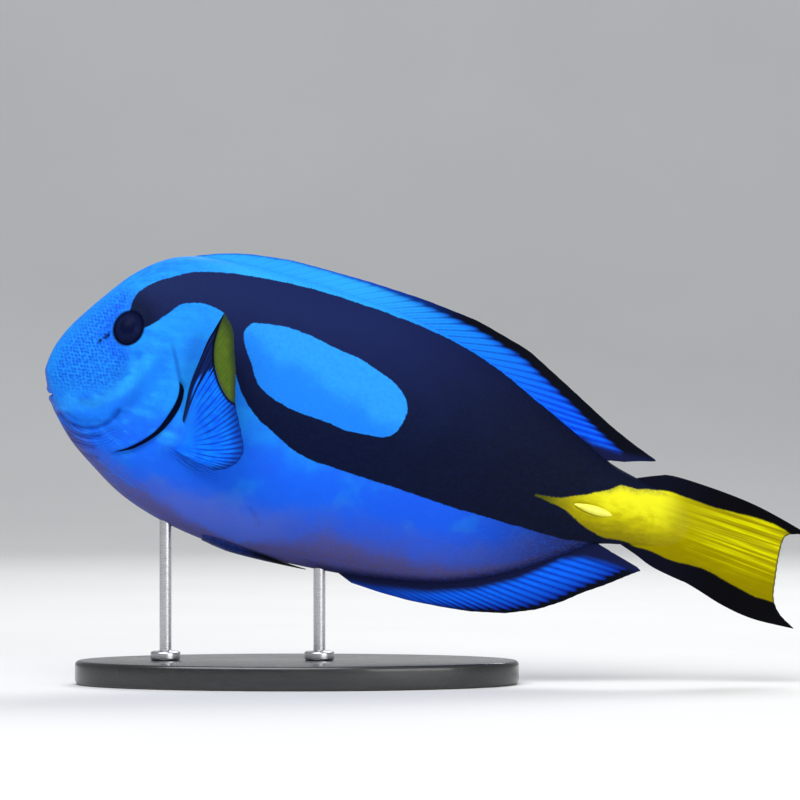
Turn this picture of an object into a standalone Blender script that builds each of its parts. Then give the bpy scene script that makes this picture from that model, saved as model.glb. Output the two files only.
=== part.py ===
"""A regal blue tang, life size, as a still museum model on a plain display stand.

The fish is drawn in its own frame: u runs along the body from the snout to the tail, y is across it
(the left side is -y) and v is up. An empty pitches that frame nose-up, as the fish swims.
Sizes are in millimetres and become metres when a mesh is made.
"""
import math

import bmesh
import bpy
import numpy as np
from mathutils import Matrix, Vector

MM = 0.001

# Pose and fit
PITCH = math.radians(13)        # the nose points up by this much
SNOUT_HEIGHT = 102.0            # of the snout's tip above the floor
GAP = 0.3                       # left between pieces that touch

# Body: u, back, belly, half width, height of the widest place
BODY_STATIONS = [
    (-0.6, 3.2, 3.2, 0.0, 3.2),
    (0.2, 8.8, 0.4, 3.9, 3.4),
    (1.2, 12.3, -2.0, 5.5, 3.2),
    (2.7, 15.7, -5.2, 6.9, 3.1),
    (4.5, 19.0, -8.6, 8.2, 3.2),
    (6.5, 22.1, -11.2, 9.3, 3.4),
    (13.0, 31.0, -18.2, 11.8, 4.0),
    (22.0, 41.2, -24.9, 14.0, 4.6),
    (34.0, 48.6, -32.4, 15.9, 4.6),
    (50.0, 51.6, -38.0, 17.3, 4.0),
    (70.0, 51.7, -41.4, 17.8, 3.0),
    (95.0, 49.7, -41.9, 16.9, 2.4),
    (120.0, 46.0, -40.6, 14.8, 2.0),
    (145.0, 38.1, -36.5, 11.8, 1.4),
    (165.0, 28.2, -28.5, 8.7, 0.8),
    (180.0, 20.0, -19.6, 6.4, 0.6),
    (190.0, 14.8, -13.1, 5.3, 0.6),
    (200.0, 11.8, -10.8, 4.3, 0.5),
    (207.0, 9.8, -9.4, 3.3, 0.3),
    (211.5, 6.6, -6.8, 2.3, 0.0),
    (213.5, 0.0, 0.0, 0.0, 0.0),
]
RING_SIDES = 32
CREST_SHARPNESS = 1.12          # 1 is an ellipse, more is a sharper back and belly
STALK_START = 178.0             # where the trunk ends and the tail stalk begins

# Gill cover: its rear edge as v, u, from the back down to the throat
GILL_EDGE = [
    (60.0, 36.0), (32.0, 36.4), (23.0, 37.6), (15.0, 40.2), (10.5, 42.9), (6.5, 44.6),
    (3.0, 44.4), (-1.0, 43.4), (-6.0, 41.4), (-10.5, 38.4), (-14.0, 34.8), (-17.0, 30.8),
    (-19.6, 26.9), (-22.5, 23.6), (-34.0, 16.0),
]
GILL_OPEN_TOP = 8.0             # v of the two ends of the open gill slit
GILL_OPEN_FOOT = -19.0
GILL_SLIT_RADIUS = 0.9
GILL_COVER_RISE = 0.9           # how far the cover's edge stands out
GILL_COVER_REACH = 7.0

# Eye, nostrils and mouth
EYE_AT = (23.6, 22.3)
EYE_RADIUS = 5.2
EYE_THICKNESS = 3.4
EYE_SINK = 1.5
ORBIT_RIM = 0.75
NOSTRILS = [((17.2, 17.7), 3.2, 0.9, 63), ((14.8, 15.6), 1.3, 1.0, 63)]
MOUTH_HALF_WIDTH = 5.3
MOUTH_CORNER = -4.9             # v where the lips meet at each side
UPPER_LIP = -3.3                # v of each lip's middle line in front
LOWER_LIP = -6.5
MOUTH_DEPTH = 2.6
MOUTH_GAPE = 0.8
LIP_RADIUS = 1.3
LIP_SINK = 0.75

# Fins: ray counts, thickness of the membrane at root and edge, and of a ray
MEMBRANE_ROOT = 1.5
MEMBRANE_EDGE = 0.55
RAY_RISE_ROOT = 0.8
RAY_RISE_EDGE = 0.35
RAY_HALF_WIDTH = 0.24           # as a share of the distance between two rays
DORSAL_RAYS = 29
# where a ray leaves the back, as u, and its tip, as u and v
DORSAL_SHAPE = [
    (38.5, 40.5, 50.9), (44.0, 48.4, 53.1), (50.0, 57.2, 55.1), (60.0, 71.2, 56.8),
    (70.0, 82.3, 56.4), (85.0, 98.8, 55.6), (100.0, 117.3, 54.0), (115.0, 136.4, 51.1),
    (130.0, 155.1, 45.3), (145.0, 171.1, 36.3), (160.0, 187.6, 26.8), (170.0, 195.9, 22.8),
    (175.0, 201.3, 20.5), (178.5, 205.5, 18.9), (181.5, 204.4, 18.5), (184.0, 200.0, 17.9),
    (186.2, 195.2, 16.4),
]
ANAL_RAYS = 22
ANAL_SHAPE = [
    (108.5, 115.3, -43.6), (111.0, 124.0, -44.5), (115.0, 135.0, -45.0), (122.0, 146.4, -44.6),
    (130.0, 155.3, -44.0), (140.0, 167.3, -41.9), (150.0, 177.2, -38.3), (158.0, 184.7, -33.9),
    (165.0, 190.7, -29.4), (172.0, 197.8, -25.0), (178.0, 203.0, -21.3), (184.0, 206.3, -19.0),
    (187.0, 208.2, -17.9), (189.8, 206.8, -17.2),
]
CAUDAL_RAYS = 18
CAUDAL_TOP = [(200.8, 12.1), (205.5, 13.7), (211.0, 15.0), (225.0, 14.0), (238.0, 12.2),
              (248.0, 9.8), (260.0, 6.2)]
CAUDAL_FOOT = [(200.8, -11.1), (205.5, -13.0), (212.0, -15.7), (225.0, -18.7), (237.0, -22.8),
               (248.0, -25.0), (262.0, -25.2)]
CAUDAL_MARGIN = [(260.0, 6.2), (255.0, 5.4), (252.2, 3.4), (251.8, -3.0), (252.3, -10.0),
                 (253.3, -17.0), (256.4, -21.6), (262.0, -25.2)]
PECTORAL_RAYS = 16
PECTORAL_ROOT = [(47.8, -3.6), (46.6, -7.6), (44.6, -12.4)]
PECTORAL_MARGIN = [(53.3, 34.5), (57.4, 27.5), (60.6, 17.5), (64.0, 7.0), (68.0, -2.0),
                   (70.0, -8.0), (68.2, -13.6), (62.3, -17.2)]
PECTORAL_OUTWARD = (0.24, 0.5)  # how far the first and the last ray swing out, per length
PECTORAL_SINK = 3.2             # how far its root runs into the flesh before it is cut
PECTORAL_BUMP = (3.2, 1.9, 6.0) # half sizes of the fleshy mound it grows from
PECTORAL_BUMP_AT = (45.6, -8.2)
PECTORAL_BUMP_LEAN = -20        # degrees
PELVIC_RAYS = 4
PELVIC_SPAN = (63.0, 99.0)      # u of root and tip, folded back along the belly
PELVIC_INNER = 1.0              # y of its inner edge
PELVIC_WIDTH = 4.6
PELVIC_THICKNESS = 0.75
PELVIC_FACING = np.array([0.0, 0.2, -0.98])   # the way its outer face looks on the right side

# Tail spine, one each side
SPINE_AT = (187.3, -1.5)
SPINE_LENGTH = 13.0
SPINE_HEIGHT = 2.6
SPINE_THICKNESS = 2.2
SPINE_DIP = 9                   # degrees that its tip is above its root
SPINE_SINK = 0.5

# Stand
BASE_LENGTH = 148.0
BASE_WIDTH = 78.0
BASE_HEIGHT = 8.0
BASE_CENTRE = 84.0              # behind the snout's tip, level
BASE_CHAMFER = 1.6
ROD_PLACES = [50.0, 103.5]      # u where each rod meets the belly
ROD_RADIUS = 2.0
COLLAR_RADIUS = 5.0
COLLAR_HEIGHT = 3.0


def clear_scene():
    for obj in list(bpy.data.objects):
        bpy.data.objects.remove(obj, do_unlink=True)


def material(name, colour, roughness, metallic=0.0):
    made = bpy.data.materials.new(name)
    made.use_nodes = True
    surface = made.node_tree.nodes["Principled BSDF"]
    surface.inputs["Base Color"].default_value = (*colour, 1.0)
    surface.inputs["Roughness"].default_value = roughness
    surface.inputs["Metallic"].default_value = metallic
    return made


def spline(points, steps, round_start=False, round_end=False):
    """Catmull-Rom through rows of numbers, with so many steps between two rows.

    A rounded end is reached square on, as at the tip of a nose."""
    rows = np.array(points, float)
    first = 2 * rows[0] - rows[1]
    last = 2 * rows[-1] - rows[-2]
    if round_start:
        first = rows[1][[0, 2, 1, 3, 4]] * (1, 1, 1, -1, 1)
    if round_end:
        last = rows[-2][[0, 2, 1, 3, 4]] * (1, 1, 1, -1, 1)
    rows = np.vstack([first, rows, last])
    made = []
    for k in range(1, len(rows) - 2):
        a, b, c, d = rows[k - 1:k + 3]
        for t in np.arange(steps) / steps:
            made.append(0.5 * (2 * b + (c - a) * t + (2 * a - 5 * b + 4 * c - d) * t ** 2
                               + (3 * b - a - 3 * c + d) * t ** 3))
    made.append(rows[-2])
    return np.array(made)


def along(points, share):
    """The point at a share of a smooth line's length, through a few points."""
    line = spline(points, 12)
    reach = np.concatenate([[0], np.cumsum(np.linalg.norm(np.diff(line, axis=0), axis=1))])
    return np.array([np.interp(share * reach[-1], reach, line[:, k]) for k in range(line.shape[1])])


BODY_LINE = spline(BODY_STATIONS, 16, round_start=True, round_end=True)
BODY_LINE = BODY_LINE[np.argsort(BODY_LINE[:, 0])]


def body_at(u):
    """Back, belly, half width and height of the widest place at u."""
    return [np.interp(u, BODY_LINE[:, 0], BODY_LINE[:, k]) for k in (1, 2, 3, 4)]


def side(u, v):
    """Half width of the body at u, v."""
    back, belly, half, middle = body_at(u)
    reach = back - middle if v > middle else middle - belly
    return half * max(1 - ((v - middle) / reach) ** 2, 0.0) ** (CREST_SHARPNESS / 2)


def gill_edge_u(v):
    edge = spline(GILL_EDGE, 8)[::-1]
    return np.interp(v, edge[:, 0], edge[:, 1])


def cover_rise(u, v):
    """How far the gill cover lifts the head's side at u, v."""
    ahead = (gill_edge_u(v) - u) / GILL_COVER_REACH
    middle = (GILL_OPEN_TOP + GILL_OPEN_FOOT) / 2
    span = (GILL_OPEN_TOP - GILL_OPEN_FOOT) * 0.7
    return GILL_COVER_RISE * math.exp(-max(ahead, 0.0) ** 2 - ((v - middle) / span) ** 4)


def ring(station, grow=0.0, cover=False):
    """Points round the body at one station, from its right side up over the back."""
    u, back, belly, half, middle = station
    points = []
    for k in range(RING_SIDES):
        angle = 2 * math.pi * (k + 0.5) / RING_SIDES
        rise = math.sin(angle)
        reach = (back - middle if rise > 0 else middle - belly) + grow
        v = middle + reach * rise
        across = math.copysign(abs(math.cos(angle)) ** CREST_SHARPNESS, math.cos(angle))
        y = (half + grow) * across
        if cover:
            y += math.copysign(cover_rise(u, v) * abs(across), across)
        points.append((u, y, v))
    return points


def new_object(name, mesh, finish=None):
    obj = bpy.data.objects.new(name, mesh)
    bpy.context.scene.collection.objects.link(obj)
    if finish:
        mesh.materials.append(finish)
    return obj


def mesh_of(name, points, faces):
    """A mesh from points in millimetres, with its faces turned outwards."""
    work = bmesh.new()
    made = [work.verts.new([c * MM for c in p]) for p in points]
    for face in faces:
        work.faces.new([made[k] for k in face])
    bmesh.ops.recalc_face_normals(work, faces=work.faces)
    if work.calc_volume(signed=True) < 0:
        bmesh.ops.reverse_faces(work, faces=work.faces)
    mesh = bpy.data.meshes.new(name)
    work.to_mesh(mesh)
    work.free()
    return mesh


def loft(name, rings, start_tip=None, end_tip=None):
    """A closed skin over rings, each end closed flat or drawn to a tip."""
    sides = len(rings[0])
    points = [p for r in rings for p in r]
    faces = []
    for k in range(len(rings) - 1):
        for m in range(sides):
            n = (m + 1) % sides
            faces.append((k * sides + m, k * sides + n, (k + 1) * sides + n, (k + 1) * sides + m))
    for tip, first in ((start_tip, 0), (end_tip, (len(rings) - 1) * sides)):
        edge = range(first, first + sides)
        if tip is None:
            faces.append(tuple(edge))
            continue
        points.append(tip)
        for m in range(sides):
            faces.append((first + m, first + (m + 1) % sides, len(points) - 1))
    return mesh_of(name, points, faces)


def body_mesh(name, start, end, steps, grow=0.0, cover=False):
    """The body between two values of u; it closes at the snout or the tail where those are reached."""
    line = spline(BODY_STATIONS, steps, round_start=True, round_end=True)
    fine = spline(BODY_STATIONS, 16, round_start=True, round_end=True)
    inside = [row for row in line[1:-1] if start + 0.5 < row[0] < end - 0.5]
    tips = [None, None]
    if start <= fine[0][0]:
        tips[0] = (fine[0][0] - grow, 0, fine[0][1])
        inside = [row for row in line[1:-1] if row[0] < end - 0.5]
    else:
        inside.insert(0, [np.interp(start, fine[:, 0], fine[:, k]) for k in range(5)])
    if end >= fine[-1][0]:
        tips[1] = (fine[-1][0] + grow, 0, fine[-1][1])
        inside = inside[:-1] + [row for row in line[1:-1] if row[0] >= inside[-1][0]]
    else:
        inside.append([np.interp(end, fine[:, 0], fine[:, k]) for k in range(5)])
    return loft(name, [ring(row, grow, cover) for row in inside], *tips)


def sheet(name, rows, halves, normals):
    """A thin closed fin. rows[i][j] is a place, with i across the rays and j from root to edge.

    Both faces are split alike, so that they never cross."""
    count, length = len(rows), len(rows[0])
    points = []
    for sign in (-1, 1):
        for i in range(count):
            for j in range(length):
                place = np.array(rows[i][j]) + sign * halves[i][j] * np.array(normals[i][j])
                points.append(tuple(place))
    half = count * length
    faces = []
    for i in range(count - 1):
        for j in range(length - 1):
            a, b = i * length + j, (i + 1) * length + j
            for first in ((a, b, b + 1), (a, b + 1, a + 1)):
                faces.append(first)
                faces.append(tuple(half + k for k in reversed(first)))
    rim = [i * length for i in range(count)]
    rim += [(count - 1) * length + j for j in range(1, length)]
    rim += [i * length + length - 1 for i in range(count - 2, -1, -1)]
    rim += [j for j in range(length - 2, 0, -1)]
    for a, b in zip(rim, rim[1:] + rim[:1]):
        faces.append((a, b, half + b))
        faces.append((a, half + b, half + a))
    return mesh_of(name, points, faces)


def ray_columns(rays):
    """Shares across the fin with how much ray each has: two foot columns beside every crest."""
    columns = [(0.0, 1.0), (RAY_HALF_WIDTH, 0.0)]
    for k in range(1, rays - 1):
        columns += [(k - RAY_HALF_WIDTH, 0.0), (k, 1.0), (k + RAY_HALF_WIDTH, 0.0)]
    columns += [(rays - 1 - RAY_HALF_WIDTH, 0.0), (rays - 1, 1.0)]
    return [(place / (rays - 1), crest) for place, crest in columns]


def fin_half(crest, s, root=MEMBRANE_ROOT):
    """Half thickness of a fin at a share s of the way from its root to its edge."""
    film = root * (1 - s) + MEMBRANE_EDGE * s
    ray = RAY_RISE_ROOT * (1 - s) + RAY_RISE_EDGE * s
    return (film + crest * ray) / 2


def keel_fin(name, rays, shape, up):
    """The dorsal or the anal fin: rays from the body's edge to the fin's edge, in the middle plane."""
    steps = 4
    table = np.array(shape)
    rows, halves = [], []
    for share, crest in ray_columns(rays):
        u = table[0, 0] + (table[-1, 0] - table[0, 0]) * share
        edge = [body_at(u + d)[0 if up else 1] for d in (-1.5, 0, 1.5)]
        clear = GAP * math.hypot(1, (edge[2] - edge[0]) / 3) * (1 if up else -1)
        root = np.array([u, 0, edge[1] + clear])
        tip = np.array([np.interp(u, table[:, 0], table[:, 1]), 0, np.interp(u, table[:, 0], table[:, 2])])
        shares = np.linspace(0, 1, steps + 1)
        rows.append([root + (tip - root) * s for s in shares])
        halves.append([fin_half(crest, s) for s in shares])
    normals = [[(0, 1, 0)] * (steps + 1) for _ in rows]
    return sheet(name, rows, halves, normals)


def caudal_fin(name):
    """The tail fin, spread between its four edges: two leading edges, the root and the rear margin."""
    steps = 7
    line = spline(BODY_STATIONS, 16, round_end=True)
    stalk = [row for row in line if row[0] >= CAUDAL_TOP[0][0]]
    root = [(row[0], row[1]) for row in stalk] + [(row[0], row[2]) for row in stalk[-2::-1]]
    centre = np.array([200.0, 0.0])
    root = [np.array(p) + GAP * (np.array(p) - centre) / np.linalg.norm(np.array(p) - centre)
            for p in root]
    root[0], root[-1] = np.array(CAUDAL_TOP[0]), np.array(CAUDAL_FOOT[0])
    reach = np.concatenate([[0], np.cumsum(np.linalg.norm(np.diff(root, axis=0), axis=1))])
    rows, halves = [], []
    for share, crest in ray_columns(CAUDAL_RAYS):
        start = np.array([np.interp(share * reach[-1], reach, np.array(root)[:, k]) for k in (0, 1)])
        end = along(CAUDAL_MARGIN, share)
        row, half = [], []
        for s in np.linspace(0, 1, steps + 1):
            place = (1 - s) * start + s * end
            for edge, near in ((CAUDAL_TOP, 1 - share), (CAUDAL_FOOT, share)):
                chord = (1 - s) * np.array(edge[0]) + s * np.array(edge[-1])
                place = place + (along(edge, s) - chord) * near ** 2
            row.append((place[0], 0, place[1]))
            half.append(fin_half(crest, s))
        rows.append(row)
        halves.append(half)
    normals = [[(0, 1, 0)] * (steps + 1) for _ in rows]
    return sheet(name, rows, halves, normals)


def pectoral_fin(name, sign):
    """A pectoral fin, raised and swung out, with its root still inside the flesh."""
    steps = 5
    rows, halves = [], []
    for share, crest in ray_columns(PECTORAL_RAYS):
        root = along(PECTORAL_ROOT, share)
        tip = along(PECTORAL_MARGIN, share)
        length = np.linalg.norm(tip - root)
        outward = PECTORAL_OUTWARD[0] + (PECTORAL_OUTWARD[1] - PECTORAL_OUTWARD[0]) * min(share * 2, 1)
        row, half = [], []
        for s in np.linspace(-PECTORAL_SINK / length, 1, steps + 1):
            place = root + (tip - root) * s
            y = side(*root) + length * outward * s + 2.0 * math.sin(math.pi * max(s, 0))
            if s < 0:
                y = side(*root) - PECTORAL_SINK
            row.append((place[0], sign * y, place[1]))
            half.append(fin_half(crest * min(0.25 + 2.0 * max(s, 0), 1), max(s, 0), root=1.7))
        rows.append(row)
        halves.append(half)
    return sheet(name, rows, halves, sheet_normals(rows))


def sheet_normals(rows):
    """Unit normals of a grid of places."""
    grid = np.array(rows, float)
    across = np.gradient(grid, axis=0)
    down = np.gradient(grid, axis=1)
    normals = np.cross(across, down)
    return normals / np.linalg.norm(normals, axis=2, keepdims=True)


def belly_point(u, y, out):
    """A point under the belly at u, y, at a distance out from the skin."""
    back, belly, half, middle = body_at(u)
    share = min(abs(y) / half, 1.0) ** (1 / CREST_SHARPNESS)
    v = middle - (middle - belly) * math.sqrt(1 - share ** 2)
    return np.array([u, y, v - out])


def pelvic_fin(name, sign):
    """A pelvic fin, folded back flat along the belly."""
    steps = 6
    rows, halves = [], []
    for share in np.linspace(0, 1, PELVIC_RAYS):
        row, half = [], []
        for s in np.linspace(0, 1, steps + 1):
            u = PELVIC_SPAN[0] + (PELVIC_SPAN[1] - PELVIC_SPAN[0]) * s * (1 - 0.3 * share)
            width = PELVIC_WIDTH * (0.7 + 0.3 * math.sin(math.pi / 2 * min(3 * s, 1))) * (1 - 0.45 * s * s)
            thick = fin_half(0.3, s, root=PELVIC_THICKNESS) * min(0.45 + 2 * s, 1)
            place = belly_point(u, sign * (PELVIC_INNER + width * share), GAP + thick + 0.12)
            row.append(tuple(place))
            half.append(thick)
        rows.append(row)
        halves.append(half)
    normals = [[PELVIC_FACING * (1, sign, 1)] * (steps + 1) for _ in rows]
    return sheet(name, rows, halves, normals)


def tube(name, points, radii):
    """A round tube through points, tapered, as a closed mesh."""
    curve = bpy.data.curves.new(name, "CURVE")
    curve.dimensions = "3D"
    curve.bevel_depth = MM
    curve.bevel_resolution = 2
    curve.use_fill_caps = True
    line = curve.splines.new("POLY")
    line.points.add(len(points) - 1)
    for spot, place, radius in zip(line.points, points, radii):
        spot.co = (*[c * MM for c in place], 1)
        spot.radius = radius
    obj = new_object(name, curve)
    graph = bpy.context.evaluated_depsgraph_get()
    mesh = bpy.data.meshes.new_from_object(obj.evaluated_get(graph))
    bpy.data.objects.remove(obj)
    work = bmesh.new()
    work.from_mesh(mesh)
    bmesh.ops.remove_doubles(work, verts=work.verts, dist=1e-5)
    bmesh.ops.recalc_face_normals(work, faces=work.faces)
    work.to_mesh(mesh)
    work.free()
    return new_object(name, mesh)


def ball(name, radii, segments=20, rings=10):
    """An ellipsoid about the origin, in millimetres."""
    mesh = bpy.data.meshes.new(name)
    work = bmesh.new()
    bmesh.ops.create_uvsphere(work, u_segments=segments, v_segments=rings, radius=1.0)
    bmesh.ops.scale(work, vec=[r * MM for r in radii], verts=work.verts)
    work.to_mesh(mesh)
    work.free()
    return mesh


def set_on_side(mesh, u, v, sign, lean=0.0, out=0.0):
    """Puts a mesh on the body's side at u, v: its y points out of the skin and its x runs along it.

    It is leant about y by degrees, tip up for a positive lean, and mirrored for the left side."""
    step = 0.5
    slope_u = (side(u + step, v) - side(u - step, v)) / (2 * step)
    slope_v = (side(u, v + step) - side(u, v - step)) / (2 * step)
    normal = Vector((-slope_u, 1, -slope_v)).normalized()
    forward = Vector((1, slope_u, 0)).normalized()
    upward = forward.cross(normal)
    turn = Matrix((forward, normal, upward)).transposed().to_4x4()
    place = Matrix.Translation((Vector((u, side(u, v), v)) + normal * out) * MM)
    mesh.transform(place @ turn @ Matrix.Rotation(math.radians(-lean), 4, "Y"))
    if sign < 0:
        mesh.transform(Matrix.Scale(-1, 4, (0, 1, 0)))
        mesh.flip_normals()
    return new_object(mesh.name, mesh)


def keep_largest(mesh):
    """Leaves only the largest closed surface of a mesh."""
    work = bmesh.new()
    work.from_mesh(mesh)
    left, islands = set(work.verts), []
    while left:
        island, edge = set(), [left.pop()]
        while edge:
            spot = edge.pop()
            island.add(spot)
            for link in spot.link_edges:
                other = link.other_vert(spot)
                if other in left:
                    left.remove(other)
                    edge.append(other)
        islands.append(island)
    islands.sort(key=len)
    for island in islands[:-1]:
        bmesh.ops.delete(work, geom=list(island), context="VERTS")
    work.to_mesh(mesh)
    work.free()


def combine(obj, others, operation, solver="EXACT"):
    """Cuts or joins others with obj in one Boolean, applies it and removes them."""
    group = bpy.data.collections.new("cutters")
    bpy.context.scene.collection.children.link(group)
    for other in others:
        group.objects.link(other)
    modifier = obj.modifiers.new("combine", "BOOLEAN")
    modifier.operation = operation
    modifier.operand_type = "COLLECTION"
    modifier.collection = group
    modifier.solver = solver
    bpy.context.view_layer.update()
    graph = bpy.context.evaluated_depsgraph_get()
    mesh = bpy.data.meshes.new_from_object(obj.evaluated_get(graph))
    obj.modifiers.clear()
    keep_largest(mesh)
    obj.data = mesh
    for other in others:
        bpy.data.objects.remove(other, do_unlink=True)
    bpy.data.collections.remove(group)
    return obj


def slab(name, outline):
    """A flat outline in u, v, drawn out right across the fish."""
    reach = 40.0
    count = len(outline)
    points = [(u, y, v) for y in (-reach, reach) for u, v in outline]
    faces = [tuple(range(count)), tuple(range(count, 2 * count))]
    faces += [(k, (k + 1) % count, count + (k + 1) % count, count + k) for k in range(count)]
    return new_object(name, mesh_of(name, points, faces))


def gill_cutter(name, behind):
    """Everything behind the gill cover's edge, or everything ahead of it."""
    shift = -0.22 if behind else 0.22
    edge = [(row[1] + shift, row[0]) for row in spline(GILL_EDGE, 3)]
    far = 240.0 if behind else -30.0
    corners = [(far, edge[-1][1]), (far, edge[0][1])]
    return slab(name, edge + corners)


def gill_slit(name, sign):
    """The open slit under the cover's rear edge, as a tube to cut from the trunk."""
    points, radii = [], []
    for share in np.linspace(0, 1, 16):
        v = GILL_OPEN_TOP + (GILL_OPEN_FOOT - GILL_OPEN_TOP) * share
        u = gill_edge_u(v) + 0.6
        swell = math.sin(math.pi * share) ** 0.6
        points.append((u, sign * (side(u, v) + 0.7 * (1 - swell)), v))
        radii.append(GILL_SLIT_RADIUS * (0.25 + 0.75 * swell))
    return tube(name, points, radii)


def eye_ball(name, sign, grow=0.0):
    mesh = ball(name, (EYE_RADIUS + grow, EYE_THICKNESS + grow, EYE_RADIUS + grow), 24, 12)
    return set_on_side(mesh, *EYE_AT, sign, out=-EYE_SINK)


def orbit_rim(sign):
    """A low ring of skin round the eye."""
    bpy.ops.mesh.primitive_torus_add(major_radius=(EYE_RADIUS + 0.3) * MM, minor_radius=ORBIT_RIM * MM,
                                     major_segments=24, minor_segments=6)
    ring_mesh = bpy.context.object.data
    bpy.data.objects.remove(bpy.context.object)
    ring_mesh.transform(Matrix.Rotation(math.radians(90), 4, "X"))
    return set_on_side(ring_mesh, *EYE_AT, sign, out=-ORBIT_RIM * 0.45)


def face_u(y, v):
    """u of the snout's surface at y, v."""
    tries = np.linspace(-0.5, 14, 300)
    widths = np.array([side(u, v) if body_at(u)[1] < v < body_at(u)[0] else 0.0 for u in tries])
    return np.interp(abs(y), np.maximum.accumulate(widths), tries)


def lip_line(middle, out):
    """Points of a line round the front of the mouth, so far out of the skin."""
    points = []
    for share in np.linspace(-1, 1, 17):
        y = MOUTH_HALF_WIDTH * share
        v = middle + (MOUTH_CORNER - middle) * share ** 2
        points.append((face_u(y, v) - out, y, v))
    return points


def lip(name, middle):
    """One lip, bent round the front of the jaw, thinning to its corners."""
    points = lip_line(middle, -LIP_SINK)
    radii = [LIP_RADIUS * (1 - 0.55 * share ** 2) for share in np.linspace(-1, 1, len(points))]
    return tube(name, points, radii)


def mouth_slit(name):
    """The gap between the lips, as a flat lens to cut."""
    line = lip_line(MOUTH_CORNER, 1.6)
    inner = lip_line(MOUTH_CORNER, -MOUTH_DEPTH)
    rings = []
    for front, back in zip(line[1:-1], inner[1:-1]):
        high = MOUTH_GAPE / 2 * math.sqrt(max(1 - (front[1] / MOUTH_HALF_WIDTH) ** 2, 0.1))
        rings.append([(front[0], front[1], front[2] - high), (back[0], back[1], back[2] - high),
                      (back[0], back[1], back[2] + high), (front[0], front[1], front[2] + high)])
    return new_object(name, loft(name, rings))


def make_head(skin):
    head = new_object("head", body_mesh("head", -1.0, 62.0, 3, cover=True), skin)
    extras = [orbit_rim(sign) for sign in (-1, 1)]
    extras += [lip("upper_lip", UPPER_LIP), lip("lower_lip", LOWER_LIP)]
    combine(head, extras, "UNION")
    cutters = [gill_cutter("behind_gill", behind=True), mouth_slit("mouth_slit")]
    for sign in (-1, 1):
        cutters.append(eye_ball("socket", sign, grow=GAP))
        for (u, v), length, width, lean in NOSTRILS:
            pit = ball("nostril", (length / 2, 0.9, width / 2), 12, 6)
            cutters.append(set_on_side(pit, u, v, sign, lean=lean))
    return combine(head, cutters, "DIFFERENCE")


def pectoral_mound(name, sign, grow=0.0):
    mound = ball(name, [size + grow for size in PECTORAL_BUMP], 20, 10)
    return set_on_side(mound, *PECTORAL_BUMP_AT, sign, lean=PECTORAL_BUMP_LEAN, out=-0.5)


def make_trunk(skin):
    trunk = new_object("trunk", body_mesh("trunk", 12.0, STALK_START - GAP / 2, 3), skin)
    combine(trunk, [pectoral_mound("mound", sign) for sign in (-1, 1)], "UNION")
    cutters = [gill_cutter("ahead_of_gill", behind=False)]
    cutters += [gill_slit("slit", sign) for sign in (-1, 1)]
    return combine(trunk, cutters, "DIFFERENCE")


def tail_spine(name, sign, grow=0.0):
    """The folding spine on the tail stalk: a lancet with its point to the front."""
    rings = []
    count = 10
    for share in np.linspace(0, 1, 11)[1:-1]:
        swell = math.sin(math.pi * share ** 1.25) ** 0.85
        high, thick = SPINE_HEIGHT / 2 * swell + grow, SPINE_THICKNESS / 2 * swell + grow
        place = (share - 0.5) * SPINE_LENGTH
        rings.append([(place, thick * math.cos(a), high * math.sin(a))
                      for a in np.arange(count) * 2 * math.pi / count])
    ends = [(-SPINE_LENGTH / 2 - grow, 0, 0), (SPINE_LENGTH / 2 + grow, 0, 0)]
    return set_on_side(loft(name, rings, *ends), *SPINE_AT, sign, lean=-SPINE_DIP, out=-SPINE_SINK)


def make_tail_stalk(skin):
    stalk = new_object("tail_stalk", body_mesh("tail_stalk", STALK_START + GAP / 2, 214.0, 3), skin)
    cutters = [tail_spine("groove", sign, grow=GAP) for sign in (-1, 1)]
    return combine(stalk, cutters, "DIFFERENCE")


def rod(name, u_top, steel):
    """A turned rod with a collar at its foot, left long and cut by the belly."""
    belly = body_at(u_top)[1]
    x = u_top * math.cos(PITCH) + belly * math.sin(PITCH)
    top = SNOUT_HEIGHT - u_top * math.sin(PITCH) + belly * math.cos(PITCH) + 6.0
    foot = BASE_HEIGHT + GAP
    profile = [(0, top), (ROD_RADIUS, top), (ROD_RADIUS, foot + COLLAR_HEIGHT),
               (COLLAR_RADIUS - 1, foot + COLLAR_HEIGHT), (COLLAR_RADIUS, foot + COLLAR_HEIGHT - 1),
               (COLLAR_RADIUS, foot), (0, foot)]
    mesh = bpy.data.meshes.new(name)
    mesh.from_pydata([(r * MM, 0, z * MM) for r, z in profile],
                     [(k, k + 1) for k in range(len(profile) - 1)], [])
    obj = new_object(name, mesh, steel)
    obj.location.x = x * MM
    turned = obj.modifiers.new("turned", "SCREW")
    turned.steps = turned.render_steps = 16
    turned.use_merge_vertices = True
    turned.merge_threshold = 1e-5
    return obj


def make_base(finish):
    bpy.ops.mesh.primitive_cylinder_add(vertices=56, radius=0.5, depth=1.0)
    base = bpy.context.object
    base.name = "stand_base"
    base.scale = (BASE_LENGTH * MM, BASE_WIDTH * MM, BASE_HEIGHT * MM)
    base.location = (BASE_CENTRE * MM, 0, BASE_HEIGHT / 2 * MM)
    bpy.ops.object.transform_apply(location=True, rotation=False, scale=True)
    base.data.materials.append(finish)
    bevel = base.modifiers.new("chamfer", "BEVEL")
    bevel.width = BASE_CHAMFER * MM
    bevel.segments = 2
    bevel.limit_method = "ANGLE"
    return base


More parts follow.
